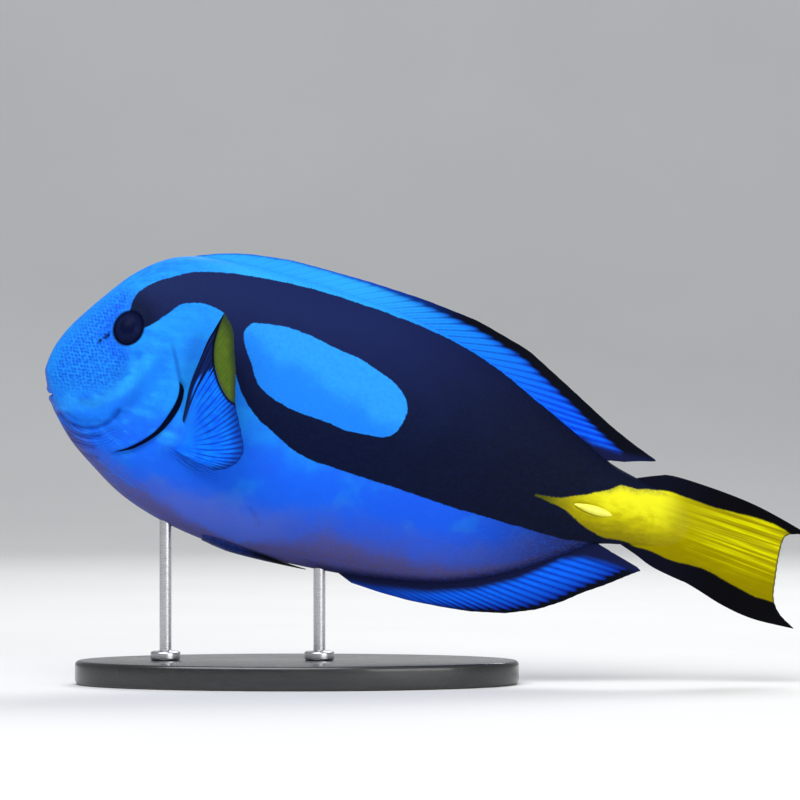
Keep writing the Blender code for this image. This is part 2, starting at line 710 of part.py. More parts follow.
def main():
    clear_scene()
    blue = material("blue_skin", (0.02, 0.2, 0.9), 0.4)
    dark = material("dark_skin", (0.01, 0.01, 0.04), 0.45)
    yellow = material("yellow_skin", (0.85, 0.7, 0.02), 0.4)
    eye_black = material("eye_black", (0.005, 0.005, 0.01), 0.08)
    steel = material("stand_steel", (0.6, 0.6, 0.62), 0.3, 1.0)
    lacquer = material("stand_lacquer", (0.02, 0.02, 0.022), 0.35)

    pose = bpy.data.objects.new("fish_pose", None)
    bpy.context.scene.collection.objects.link(pose)
    fish = [make_head(blue), make_trunk(dark), make_tail_stalk(yellow)]
    fish.append(new_object("dorsal_fin", keel_fin("dorsal_fin", DORSAL_RAYS, DORSAL_SHAPE, True), blue))
    fish.append(new_object("anal_fin", keel_fin("anal_fin", ANAL_RAYS, ANAL_SHAPE, False), blue))
    fish.append(new_object("caudal_fin", caudal_fin("caudal_fin"), yellow))
    for word, sign in (("left", -1), ("right", 1)):
        eye = eye_ball(f"eye_{word}", sign)
        eye.data.materials.append(eye_black)
        fish.append(eye)
        pectoral = new_object(f"pectoral_fin_{word}", pectoral_fin(f"pectoral_fin_{word}", sign), blue)
        flesh = [new_object("flesh", body_mesh("flesh", 12.0, 120.0, 3, grow=GAP)),
                 pectoral_mound("flesh_mound", sign, grow=GAP)]
        fish.append(combine(pectoral, flesh, "DIFFERENCE", solver="MANIFOLD"))
        fish.append(new_object(f"pelvic_fin_{word}", pelvic_fin(f"pelvic_fin_{word}", sign), blue))
        spine = tail_spine(f"tail_spine_{word}", sign)
        spine.data.materials.append(yellow)
        fish.append(spine)
    for obj in fish:
        obj.parent = pose
    pose.rotation_euler = (0, PITCH, 0)
    pose.location.z = SNOUT_HEIGHT * MM

    stand = [make_base(lacquer)]
    for word, u in zip(("front", "rear"), ROD_PLACES):
        piece = rod(f"stand_rod_{word}", u, steel)
        flesh = new_object("flesh", body_mesh("flesh", 12.0, 160.0, 3, grow=GAP))
        flesh.parent = pose
        stand.append(combine(piece, [flesh], "DIFFERENCE"))

    whole = bpy.data.objects.new("whole", None)
    bpy.context.scene.collection.objects.link(whole)
    bpy.context.view_layer.update()
    ends = [(obj.matrix_world @ Vector(c)).x for obj in fish + stand for c in
            [v.co for v in obj.data.vertices]]
    whole.location.x = -(min(ends) + max(ends)) / 2
    for obj in [pose] + stand:
        obj.parent = whole
    for obj in fish + stand:
        obj.data.shade_smooth()
        obj.data.set_sharp_from_angle(angle=math.radians(35))


main()
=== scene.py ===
"""A regal blue tang, life size, as a museum shows it: swimming nose-up over a plain stand.

Lengths are in millimetres in the fish's own frame, unless a line says otherwise. There u runs from
the snout to the tail, y is across, with the left side at -y, and v is up.
"""
import math

import bpy
import numpy as np
from mathutils import Matrix, Vector


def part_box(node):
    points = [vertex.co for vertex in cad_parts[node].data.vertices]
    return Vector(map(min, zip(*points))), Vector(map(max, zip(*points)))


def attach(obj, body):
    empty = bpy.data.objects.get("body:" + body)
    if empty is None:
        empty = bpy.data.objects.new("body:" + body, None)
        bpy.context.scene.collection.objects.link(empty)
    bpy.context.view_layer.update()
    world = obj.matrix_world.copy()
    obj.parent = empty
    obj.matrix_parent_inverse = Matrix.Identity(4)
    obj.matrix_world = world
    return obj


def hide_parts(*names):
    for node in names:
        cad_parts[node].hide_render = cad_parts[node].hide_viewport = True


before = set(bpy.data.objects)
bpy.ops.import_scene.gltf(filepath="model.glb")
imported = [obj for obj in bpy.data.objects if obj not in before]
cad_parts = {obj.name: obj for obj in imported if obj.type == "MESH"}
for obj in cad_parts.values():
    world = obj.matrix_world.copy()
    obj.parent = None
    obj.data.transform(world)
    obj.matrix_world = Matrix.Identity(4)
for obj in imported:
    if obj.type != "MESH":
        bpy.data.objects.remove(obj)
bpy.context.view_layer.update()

# The pose. The fish hangs 13 degrees nose-up, its snout a hand's breadth over the floor, and the
# camera looks square at its left side from about a metre and a half away, level with the flank.
PITCH = math.radians(13)
MM = 0.001
SNOUT_HEIGHT = 102.0
SNOUT_BEFORE_BASE = 84.0
VIEW_MIDDLE = (118.33, -7.33)   # level and upright, from the snout
VIEW_DISTANCE = 1481.5
base_low, base_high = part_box("stand_base")
snout_x = (base_low.x + base_high.x) / 2 - SNOUT_BEFORE_BASE * MM
fish_place = (Matrix.Translation((snout_x, 0, SNOUT_HEIGHT * MM))
              @ Matrix.Rotation(PITCH, 4, "Y") @ Matrix.Scale(MM, 4))

camera = bpy.data.objects.new("camera", bpy.data.cameras.new("camera"))
bpy.context.scene.collection.objects.link(camera)
bpy.context.scene.camera = camera
camera.data.lens = 200
camera.data.sensor_width = 36
camera.data.clip_start = 0.05
camera.location = (snout_x + VIEW_MIDDLE[0] * MM, -VIEW_DISTANCE * MM,
                   (SNOUT_HEIGHT + VIEW_MIDDLE[1]) * MM)
camera.rotation_euler = (math.radians(90), 0, 0)
bpy.context.scene.view_settings.view_transform = "Standard"

# The skin. One thick, supple hide covers head, trunk and tail stalk without a seam. It is drawn
# over the flesh as cross sections from snout to tail, with the gill cover, lips and pits in it.
BODY_STATIONS = [               # u, back, belly, half width, height of the widest place
    (-0.6, 3.2, 3.2, 0.0, 3.2),
    (0.2, 8.8, 0.4, 3.9, 3.4),
    (1.2, 12.3, -2.0, 5.5, 3.2),
    (2.7, 15.7, -5.2, 6.9, 3.1),
    (4.5, 19.0, -8.6, 8.2, 3.2),
    (6.5, 22.1, -11.2, 9.3, 3.4),
    (13.0, 31.0, -18.2, 11.8, 4.0),
    (22.0, 41.5, -24.9, 14.0, 4.6),
    (34.0, 49.3, -32.4, 15.9, 4.6),
    (50.0, 52.0, -38.0, 17.3, 4.0),
    (70.0, 51.7, -41.4, 17.8, 3.0),
    (95.0, 49.7, -41.9, 16.9, 2.4),
    (120.0, 46.0, -40.6, 14.8, 2.0),
    (145.0, 38.1, -36.5, 11.8, 1.4),
    (165.0, 28.2, -28.5, 8.7, 0.8),
    (180.0, 20.0, -19.6, 6.4, 0.6),
    (190.0, 14.8, -13.1, 5.0, 0.6),
    (200.0, 11.8, -10.8, 3.7, 0.5),
    (206.0, 10.3, -9.8, 2.5, 0.3),
    (210.0, 9.5, -9.4, 1.45, 0.1),
    (214.0, 8.8, -9.1, 0.80, 0.0),
    (218.0, 7.8, -8.8, 0.45, -0.3),
    (221.0, 5.6, -7.0, 0.25, -0.5),
    (222.2, -0.6, -0.6, 0.0, -0.6),
]
PROFILE_STEPS = 40              # samples of the smooth profile between two stations
PROFILE_EASING = 9.0            # samples over which its bends are evened out
RINGS_BETWEEN = [10, 10, 10, 12, 14, 24, 28, 40, 44, 14, 14, 14, 14, 12, 12, 16, 10, 8, 8, 8, 8, 8]
SKIN_SIDES = 292                # the skin has so many rings between two stations, and so many sides
CREST_SHARPNESS = 1.12          # 1 is an ellipse, more is a sharper back and belly

GILL_EDGE = [                   # rear edge of the gill cover, as v and u, from the back to the throat
    (60.0, 31.0), (32.0, 33.5), (25.0, 36.0), (20.0, 38.9), (15.0, 41.3), (10.0, 43.5),
    (6.5, 44.6), (2.5, 44.5), (-2.5, 43.0), (-8.0, 40.5), (-12.5, 36.8), (-16.3, 32.2),
    (-18.8, 28.0), (-22.5, 23.8), (-34.0, 16.6),
]
GILL_OPEN = (8.5, -19.5)        # v of the two ends of the open slit
COVER_RISE = 0.75
COVER_REACH = 6.0               # how far ahead of its edge the cover still stands out
SLIT_DEPTH = 1.5
SLIT_REACH = 2.6
SLIT_LIP = 0.7
UPPER_CREASE = 0.10             # the closed part above the slit, as a share of the open one
EYE_AT = (24.2, 22.5)
SOCKET_RADIUS = 4.9
EYE_TALL = 1.16                 # the eye is so much taller than long
SOCKET_DEPTH = 3.0
ORBIT_RISE = 0.3
NOSTRILS = [                    # u, v, half length, half width, lean in degrees, depth
    (17.6, 18.3, 1.7, 0.75, 54, 0.8), (15.8, 16.2, 1.1, 0.55, 50, 0.6),
]
NOSTRIL_RIM = 0.16
MOUTH_V = -4.9
MOUTH_HALF_WIDTH = 5.3
LIPS = [(-3.3, 0.42, 0.85), (-6.45, 0.5, 0.9)]      # v in front, rise, half thickness
MOUTH_DEPTH = 2.2
MOUTH_GAPE = 0.34
# a fold's last number is how dark its painted shade is
FOLDS = [                       # soft creases, as points, depth, width and how dark
    ([(7.5, -10.5), (9.5, -12), (13.3, -13.2), (17, -13.3), (21.2, -11.8), (24.6, -9), (26.5, -5.3)],
     0.5, 0.8, 0.68),
    ([(9.5, -9.8), (13.3, -11.3), (17, -11.4), (21, -10)], 0.2, 0.6, 0.3),
    ([(9, -13.2), (13.5, -15.6), (18, -16), (22, -14.8)], 0.35, 0.8, 0.5),
    ([(11.5, -16.2), (16, -18.4), (21, -19)], 0.3, 0.8, 0.45),
    ([(15, -20), (19, -21.8), (23, -22)], 0.2, 0.8, 0.3),
    ([(14, -6), (19, -5.5), (22.5, -1), (23.5, 5), (24.5, 12)], 0.4, 1.7, 0.2),
    ([(26.5, -7.5), (30, -2), (31, 4), (30, 10), (28.0, 14.5)], 0.35, 1.8, 0.2),
    ([(35.0, 21.5), (37.6, 17), (39.8, 11), (40.0, 4), (38.0, -3)], 0.2, 1.9, 0.10),
    ([(46.5, 25), (46, 20), (45, 13)], 0.0, 2.4, 0.17),
    ([(76.5, -27), (78.5, -29), (80, -31.5)], 0.14, 0.7, 0.3),
    ([(211.5, 4), (213.3, 0), (213.6, -4), (212, -8)], 0.10, 0.9, 0.0),
]
FOLD_BANK = 0.6                 # height of the bank beside a fold, as a share of its depth
WRINKLES = [                    # bundles of fine wrinkles, as the line they follow and half their breadth
    ([(9, -13.5), (13.5, -16.0), (18, -16.6), (23, -15.5), (27, -12.5)], 3.6),
    ([(44.5, -13.6), (49, -15.9), (54, -17.9), (59.5, -19.3), (62.5, -19.6)], 2.3),
]
WRINKLE_SPACING = 1.05
MOUND = (46.6, -9.8, 3.4, 5.4, -12, 1.6)    # u, v, half sizes, lean and height of the pectoral root's flesh
SPINE_AT = (187.7, -1.6)
SPINE_LENGTH = 13.8
SPINE_DIP = 4                   # degrees that the tail spine's tip is above its root
GROOVE_DEPTH = 0.55
GROOVE_BANK = 0.12
GROOVE_HALF_WIDTH = 1.7


def smooth_line(points, steps):
    """Catmull-Rom through points, with so many steps between two of them."""
    rows = np.array(points, float)
    rows = np.vstack([2 * rows[0] - rows[1], rows, 2 * rows[-1] - rows[-2]])
    share = (np.arange(steps) / steps)[:, None]
    made = []
    for a, b, c, d in zip(rows, rows[1:], rows[2:], rows[3:]):
        made.append(0.5 * (2 * b + (c - a) * share + (2 * a - 5 * b + 4 * c - d) * share ** 2
                           + (3 * b - a - 3 * c + d) * share ** 3))
    return np.vstack(made + [rows[-2:-1]])


def smoothed(rows, reach, width, **padding):
    """A table's columns evened out over so many rows each way."""
    weights = np.exp(-(np.arange(-reach, reach + 1) / width) ** 2)
    padded = np.pad(rows, ((reach, reach), (0, 0)), **padding)
    return np.stack([np.convolve(column, weights / weights.sum(), "valid") for column in padded.T], 1)


def profile_line():
    """The body's stations as one long smooth line, rounded at both ends."""
    rows = np.array(BODY_STATIONS)
    turn = np.array([1, 1, 1, -1, 1])
    swap = [0, 2, 1, 3, 4]
    rows = np.vstack([rows[2:0:-1][:, swap] * turn, rows, rows[-2:-4:-1][:, swap] * turn])
    line = smoothed(smooth_line(rows, PROFILE_STEPS), PROFILE_STEPS // 2, PROFILE_EASING, mode="edge")
    return line[2 * PROFILE_STEPS:-2 * PROFILE_STEPS]


PROFILE = profile_line()


def body_at(u):
    """Back, belly, half width and height of the widest place at each u."""
    return [np.interp(u, PROFILE[:, 0], PROFILE[:, k]) for k in (1, 2, 3, 4)]


def side(u, v):
    """Half width of the body at each u, v."""
    back, belly, half, middle = body_at(u)
    reach = np.where(v > middle, back - middle, middle - belly)
    return half * np.clip(1 - ((v - middle) / reach) ** 2, 0, 1) ** (CREST_SHARPNESS / 2)


def distance_to(points, line):
    """Distance of each point to a line of points, all as u, v."""
    nearest = np.full(len(points), 1e9)
    for a, b in zip(line, line[1:]):
        step = b - a
        share = np.clip((points - a) @ step / max(step @ step, 1e-12), 0, 1)
        nearest = np.minimum(nearest, np.linalg.norm(points - a - share[:, None] * step, axis=1))
    return nearest


def depth_inside(points, edge):
    """How far each point lies inside a closed edge, negative outside."""
    closed = np.vstack([edge, edge[:1]])
    inside = np.zeros(len(points), bool)
    for (u1, v1), (u2, v2) in zip(closed, closed[1:]):
        if v1 == v2:
            continue
        crosses = (v1 > points[:, 1]) != (v2 > points[:, 1])
        inside ^= crosses & (points[:, 0] < (u2 - u1) * (points[:, 1] - v1) / (v2 - v1) + u1)
    return np.where(inside, 1, -1) * distance_to(points, closed)


def seen_middle():
    """u, v of the fish's middle plane at the middle of the view."""
    cos, sin = math.cos(PITCH), math.sin(PITCH)
    x, z = VIEW_MIDDLE
    return np.array([x * cos - z * sin, x * sin + z * cos])


def as_seen(points):
    """u, v at which the camera sees each point against the fish's middle plane, alike for both sides."""
    middle = seen_middle()
    nearer = VIEW_DISTANCE / (VIEW_DISTANCE - np.abs(points[:, 1]))
    return middle + (points[:, [0, 2]] - middle) * nearer[:, None]


def rise(value, low, high):
    """Smoothly 0 to 1 between two values."""
    share = np.clip((value - low) / (high - low), 0, 1)
    return share * share * (3 - 2 * share)


def grid_normals(grid, wrapped):
    """Unit normals of a grid of points, whose second direction may close on itself."""
    down = np.gradient(grid, axis=0)
    if wrapped:
        across = (np.roll(grid, -1, axis=1) - np.roll(grid, 1, axis=1)) / 2
    else:
        across = np.gradient(grid, axis=1)
    normals = np.cross(down, across)
    return normals / np.maximum(np.linalg.norm(normals, axis=2, keepdims=True), 1e-12)


def piece(name, points, faces, finish_used, values=(), place=fish_place):
    """A smooth-shaded mesh object from points and faces, with a value or a vector for each point."""
    mesh = bpy.data.meshes.new(name)
    spots = np.c_[np.array(points, float), np.ones(len(points))] @ np.array(place).T
    mesh.from_pydata(spots[:, :3].tolist(), [], [tuple(f) for f in faces])
    for key, value in dict(values).items():
        value = np.asarray(value, np.float32)
        if value.ndim == 1:
            mesh.attributes.new(key, "FLOAT", "POINT").data.foreach_set("value", value)
        else:
            mesh.attributes.new(key, "FLOAT_VECTOR", "POINT").data.foreach_set("vector", value.ravel())
    mesh.materials.append(finish_used)
    mesh.shade_smooth()
    made = bpy.data.objects.new(name, mesh)
    bpy.context.scene.collection.objects.link(made)
    return made


def closed_tube(rings, tips):
    """Points and faces of a tube given as a grid of rings, whose two ends close on a tip."""
    count, sides = rings.shape[:2]
    points = np.vstack([rings.reshape(-1, 3), tips])
    a = (np.arange(count - 1)[:, None] * sides + np.arange(sides)).ravel()
    b = (np.arange(count - 1)[:, None] * sides + (np.arange(sides) + 1) % sides).ravel()
    faces = np.stack([a, b, b + sides, a + sides], 1).tolist()
    first, last, end = len(points) - 2, len(points) - 1, (count - 1) * sides
    for k in range(sides):
        n = (k + 1) % sides
        faces += [(first, n, k), (last, end + k, end + n)]
    return points, faces


def ridden(made, node_names):
    """Puts a piece in the place of CAD nodes, on the model's one body."""
    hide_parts(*node_names)
    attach(made, "root")


def feed(tree, socket, value):
    if isinstance(value, bpy.types.NodeSocket):
        tree.links.new(value, socket)
    else:
        socket.default_value = value


def node(tree, kind, named=(), **settings):
    """A node with some settings and some inputs, each a number, a colour or another node's output."""
    made = tree.nodes.new(kind)
    for key, value in settings.items():
        setattr(made, key, value)
    for key, value in dict(named).items():
        feed(tree, made.inputs[key], value)
    return made


def reckon(tree, operation, first, second=0.0, third=0.0):
    """One step of sums on two or three values."""
    return node(tree, "ShaderNodeMath", {0: first, 1: second, 2: third}, operation=operation).outputs[0]


def times(tree, first, second):
    return reckon(tree, "MULTIPLY", first, second)


def spread(tree, value, low, high, to_low=0.0, to_high=1.0):
    """A value's smooth passage from one range to another."""
    sockets = {"Value": value, 1: low, 2: high, 3: to_low, 4: to_high}
    return node(tree, "ShaderNodeMapRange", sockets, interpolation_type="SMOOTHSTEP").outputs[0]


def mapped(tree, where, scale=(1, 1, 1), turn=0.0, shift=(0, 0, 0)):
    """A place stretched, turned about z by so many radians, then shifted."""
    sockets = {"Vector": where, "Scale": scale, "Rotation": (0, 0, turn), "Location": shift}
    return node(tree, "ShaderNodeMapping", sockets).outputs[0]


def split(tree, where):
    """The three parts of a place: along, up and across the fish, or x, y and z of a piece."""
    return node(tree, "ShaderNodeSeparateXYZ", {0: where}).outputs[:]


def how_far(tree, where):
    return node(tree, "ShaderNodeVectorMath", {0: where}, operation="LENGTH").outputs["Value"]


def blend(tree, mask, first, second, mode="MIX"):
    """Two colours mixed by a mask."""
    made = node(tree, "ShaderNodeMix", {0: mask, 6: first, 7: second}, data_type="RGBA", blend_type=mode)
    return made.outputs[2]


def turn_to(tree, first, second, value, low, high, most=1.0):
    """One colour turned to another, or most of the way, as a value passes from low to high."""
    return blend(tree, spread(tree, value, low, high, 0.0, most), first, second)


def noise(tree, where, scale, detail=2.0, roughness=0.5):
    """A soft random value from 0 to 1, with about so many patches in one unit of the place."""
    sockets = {"Vector": where, "Scale": scale, "Detail": detail, "Roughness": roughness}
    return node(tree, "ShaderNodeTexNoise", sockets).outputs[0]


def stored(tree, name, vector=False):
    """A value or a vector kept on the mesh."""
    made = node(tree, "ShaderNodeAttribute", attribute_name=name)
    return made.outputs["Vector" if vector else "Fac"]


def finish(name, roughness, coat=0.0, coat_roughness=0.1, metallic=0.0, shine=0.5, glint=(1, 1, 1, 1)):
    """A material with its tree and its surface, ready for colour and relief."""
    made = bpy.data.materials.new(name)
    made.use_nodes = True
    surface = made.node_tree.nodes["Principled BSDF"]
    surface.inputs["Roughness"].default_value = roughness
    surface.inputs["Coat Weight"].default_value = coat
    surface.inputs["Coat Roughness"].default_value = coat_roughness
    surface.inputs["Metallic"].default_value = metallic
    surface.inputs["Specular IOR Level"].default_value = shine
    surface.inputs["Specular Tint"].default_value = glint
    return made, made.node_tree, surface


def relief(tree, surface, height, depth):
    """Raises the surface by a height from 0 to 1, where 1 is so many metres."""
    bump = node(tree, "ShaderNodeBump", {"Distance": depth, "Height": height, "Strength": 1.0})
    tree.links.new(bump.outputs[0], surface.inputs["Normal"])


def shader_group(name, inputs, outputs, build):
    """A node group with named sockets. build(tree, given) makes its nodes and returns its outputs."""
    tree = bpy.data.node_groups.new(name, "ShaderNodeTree")
    for in_out, sockets in (("INPUT", inputs), ("OUTPUT", outputs)):
        for key, kind in sockets.items():
            tree.interface.new_socket(key, in_out=in_out, socket_type="NodeSocket" + kind)
    given, result = tree.nodes.new("NodeGroupInput"), tree.nodes.new("NodeGroupOutput")
    for socket, made in zip(result.inputs, build(tree, given.outputs)):
        tree.links.new(made, socket)
    return tree


def use_group(tree, group, named):
    """The outputs of a group placed in a tree with its own values."""
    return node(tree, "ShaderNodeGroup", named, node_tree=group).outputs


def edge_nodes(tree, given):
    """A marking's edge follows the scale rows, so it wanders and is finely toothed."""
    teeth = reckon(tree, "SUBTRACT", noise(tree, given["Where"], 1.6, 3.0, 0.6), 0.5)
    wander = reckon(tree, "SUBTRACT", noise(tree, given["Where"], 0.35, 1.0), 0.5)
    uneven = reckon(tree, "ADD", times(tree, teeth, given["Teeth"]), times(tree, wander, given["Teeth"]))
    depth = reckon(tree, "ADD", given["Depth"], uneven)
    return [spread(tree, depth, times(tree, given["Softness"], -1.0), given["Softness"])]


def scale_nodes(tree, given):
    """Minute scales, each with a tiny raised rear edge, in rows along the body."""
    rows = mapped(tree, given["Where"], (0.8, 1.3, 1))
    cells = node(tree, "ShaderNodeTexVoronoi", {"Vector": rows, "Scale": given["Per mm"], "Randomness": 0.75})
    grain = noise(tree, given["Where"], 3.2, 2.0)
    height = reckon(tree, "ADD", times(tree, cells.outputs["Distance"], -0.8), times(tree, grain, 0.5))
    return [height, node(tree, "ShaderNodeSeparateColor", {0: cells.outputs["Color"]}).outputs[0]]


def ragged(tree, depth, where, softness, teeth):
    """A mask of where a marking has some depth, with the ragged edge of a natural one."""
    named = {"Depth": depth, "Where": where, "Softness": softness, "Teeth": teeth}
    return use_group(tree, ragged_edge, named)[0]


ragged_edge = shader_group("ragged_edge", {"Depth": "Float", "Where": "Vector", "Softness": "Float",
                                           "Teeth": "Float"}, {"Mask": "Float"}, edge_nodes)
fine_scales = shader_group("fine_scales", {"Where": "Vector", "Per mm": "Float"},
                           {"Height": "Float", "Shade": "Float"}, scale_nodes)

# The colours of the hide: vivid blue, a black palette shape round a blue oval, and a yellow wedge.
FACE_BLUE = (0.014, 0.265, 0.80, 1)
SNOUT_BLUE = (0.012, 0.205, 0.76, 1)
# painted highlight and painted shade, for the cheek, the pectoral root and the snout's pits
PAINTED_HIGHLIGHT_BLUE = (0.025, 0.36, 0.90, 1)
PAINTED_SHADE_BLUE = (0.007, 0.155, 0.74, 1)
FLANK_BLUE = (0.009, 0.124, 0.84, 1)
FLANK_REAR = (0.011, 0.088, 0.74, 1)
OVAL_BLUE = (0.022, 0.295, 0.84, 1)
BACK_BRIGHT = (0.026, 0.350, 0.82, 1)
BACK_MIDDLE = (0.009, 0.215, 0.84, 1)
BACK_REAR = (0.002, 0.072, 0.80, 1)
# the belly's violets, partly the fish's own colour and partly painted shade
BELLY_VIOLET = (0.085, 0.130, 0.55, 1)
BELLY_DEEP = (0.038, 0.068, 0.42, 1)
BELLY_DUSK = (0.106, 0.077, 0.165, 1)
KEEL_DUSK = (0.006, 0.008, 0.045, 1)
REAR_DUSK = (0.010, 0.014, 0.075, 1)
PALETTE_BLACK = (0.0025, 0.0045, 0.024, 1)
PALETTE_BACK = (0.0085, 0.0145, 0.078, 1)
PALETTE_REAR = (0.0032, 0.0042, 0.0125, 1)
YELLOW = (0.56, 0.51, 0.0005, 1)
# a painted highlight for the stalk's upper half
PAINTED_LIGHT_YELLOW = (0.80, 0.77, 0.012, 1)
BRIGHT_YELLOW = (0.62, 0.61, 0.001, 1)
MUSTARD = (0.225, 0.185, 0.0004, 1)
DUSTY_YELLOW = (0.27, 0.25, 0.03, 1)
WEDGE_SHADE = (0.05, 0.06, 0.002, 1)
# painted shade inside the gill slit, the mouth and the nostrils
HOLLOW_SHADE = (0.002, 0.003, 0.02, 1)
# painted shade in the gap round the eye
SOCKET_SHADE = (0.003, 0.005, 0.030, 1)
CREASE_SHADE = (0.35, 0.30, 0.50, 1)
# the pits' blue, partly their own tone and partly painted shade
DOT_BLUE = (0.002, 0.055, 0.56, 1)
PIT_SLANT = 0.5                 # radians, and the pits' closeness along and across their rows
PIT_SCALE = (0.73, 1.02, 1)
# the cheek's rings are a bow of painted highlight and a fold of painted shade
ROUND_FACE = (3.8, 20.7)        # the middle of the cheek's rings, under the brow
ROOT_LIGHT = (44.0, -10.0)      # the lit flesh before the pectoral root
STREAKS_FROM = 205.0            # u from which the tail's yellow is streaked
WET_SHINE = 0.07
BLUE_GLINT = (0.45, 0.65, 1.0, 1)
KEEL_FROM = 106.0               # u from which the belly's edge is dark, and how far up
KEEL_HEIGHT = 0.8
# how far up from the belly's edge the violet and the grey-violet, partly painted shade, reach, as u and
# height
VIOLET_REACH = [(0, 4), (20, 9), (30, 11), (40, 15), (60, 20), (75, 20), (90, 24), (105, 25), (120, 24),
                (150, 18), (165, 16), (200, 10)]
DUSK_REACH = [(0, 1), (20, 4), (30, 6), (40, 9), (50, 8), (60, 6), (75, 4), (90, 10), (105, 16), (120, 14),
              (135, 10), (150, 7), (165, 5), (200, 4)]

# outlines of the black palette shape, the oval in it, the yellow and the pitted snout, as u and v
PALETTE_EDGE = [
    (24.5, 22.0), (22.7, 25.0), (22.5, 28.5), (22.7, 31.8), (23.8, 34.6), (26.1, 37.3), (30.2, 40.5),
    (35.3, 43.2), (40, 45.4), (50, 47.7), (60, 48.6), (70, 49.1), (80, 49), (90, 48.4), (100, 47.5),
    (110, 46.3), (120, 44.8), (130, 42.6), (140, 39.5), (150, 35.2), (160, 30.2), (170, 25.2),
    (177, 21.8), (184, 20.5), (192, 20), (216, 20), (218, -18), (198, -17), (190, -13.0),
    (180, -13.4), (170, -13), (160, -12.5), (150, -12), (140, -11.3), (130, -10.2), (120, -9.2),
    (110, -8.5), (100, -7.4), (93, -6.8), (88, -5.5), (84, -3.8), (78, -0.5), (72, 3), (67, 7.5),
    (63, 13), (59.5, 20), (57, 28), (54.8, 32.8), (52.5, 34.8), (49, 35.8), (45, 36), (41, 35.2),
    (38, 33.5), (36, 31), (33.5, 28.4), (31, 25.7), (28.5, 23.5), (26.5, 22.2),
]
OVAL_EDGE = [
    (61.3, 30), (62.6, 32.6), (65, 33.8), (72, 34.5), (78, 34.4), (85, 33.3), (92, 31.6), (100, 30),
    (106, 28), (112, 25.6), (117, 22.3), (119.5, 19), (120.1, 16), (119.6, 12.5), (118.3, 9),
    (116, 6.9), (113, 5.9), (105, 5.6), (101, 5.5), (95, 6.8), (85, 7.9), (78, 9.6), (72, 12.2),
    (68.5, 15.5), (66, 20), (63.5, 24), (61.8, 27),
]
YELLOW_EDGE = [
    (167.6, -1.3), (171.8, -0.7), (175.3, -0.5), (179.8, 0.9), (185, 2.9), (189.4, 5), (192, 6.2),
    (195, 8.3), (199.9, 8.2), (202.6, 8.7), (206.7, 9.3), (210.7, 9.9), (214.3, 9.6), (220.1, 8.9),
    (227.3, 8.1), (234.3, 8), (241.4, 7.9), (246.4, 7.4), (251.6, 6), (256, 4.6), (266, 3),
    (266, -21), (254, -18.3), (247.3, -17.8), (242.1, -16.5), (236.1, -14.8), (230.1, -13),
    (225.7, -12.3), (217.3, -12.3), (212.8, -11.4), (208.5, -10.6), (204.2, -10.5), (199.8, -9.6),
    (192.9, -9.9), (189.1, -8.8), (185.2, -7.4), (182, -5.5), (178.8, -3.8), (173.6, -2.5),
]
FACE_EDGE = [
    (1.5, 0.5), (2, 8), (5.5, 17), (10, 24), (14.5, 29.5), (18.5, 34), (22.5, 34), (22, 30), (20, 25),
    (19, 20), (20.5, 17), (24.3, 15.5), (25.5, 11), (23.6, 4.6), (19.4, 0.5), (12.4, -1.2), (4, -2),
]


def back_nodes(tree, given):
    """The blue along the back, on skin and fin alike: light in front, deep towards the tail."""
    along = split(tree, given["Where"])[0]
    tint = turn_to(tree, BACK_BRIGHT, BACK_MIDDLE, along, 95.0, 138.0)
    return [turn_to(tree, tint, BACK_REAR, along, 130.0, 178.0)]


back_blue = shader_group("back_blue", {"Where": "Vector"}, {"Color": "Color"}, back_nodes)


def closed_line(points, steps=5):
    """A smooth closed outline through points."""
    rows = list(points)
    line = smooth_line(rows[-2:] + rows + rows[:2], steps)
    return line[2 * steps:-2 * steps + 1]


def marking_values(points):
    """How deep each point lies in the black palette and in the yellow."""
    seen = as_seen(points)
    dark = np.minimum(depth_inside(seen, closed_line(PALETTE_EDGE)),
                      -depth_inside(seen, closed_line(OVAL_EDGE)))
    return {"dark": dark, "yellow": depth_inside(seen, closed_line(YELLOW_EDGE, 3))}


def ring_rows():
    """The profile at each of the skin's rings."""
    samples = []
    for k, count in enumerate(RINGS_BETWEEN):
        samples.extend(PROFILE_STEPS * k + PROFILE_STEPS * np.arange(count) / count)
    index = np.arange(len(PROFILE))
    return np.stack([np.interp(samples[1:], index, PROFILE[:, k]) for k in range(5)], 1)


def skin_grid(rows):
    """The plain body as rings of points, without its relief."""
    angles = 2 * np.pi * (np.arange(SKIN_SIDES) + 0.5) / SKIN_SIDES
    u, back, belly, half, middle = [column[:, None] for column in rows.T]
    up = np.sin(angles)[None]
    across = np.sign(np.cos(angles)) * np.abs(np.cos(angles)) ** CREST_SHARPNESS
    v = middle + np.where(up > 0, back - middle, middle - belly) * up
    return np.stack([u + 0 * v, half * across, v], 2)


def turned_about(points, at_u, at_v, lean):
    """How far each point lies along and across a line that leans so many degrees through u, v."""
    cos, sin = math.cos(math.radians(lean)), math.sin(math.radians(lean))
    u, v = points[:, 0] - at_u, points[:, 2] - at_v
    return u * cos + v * sin, v * cos - u * sin


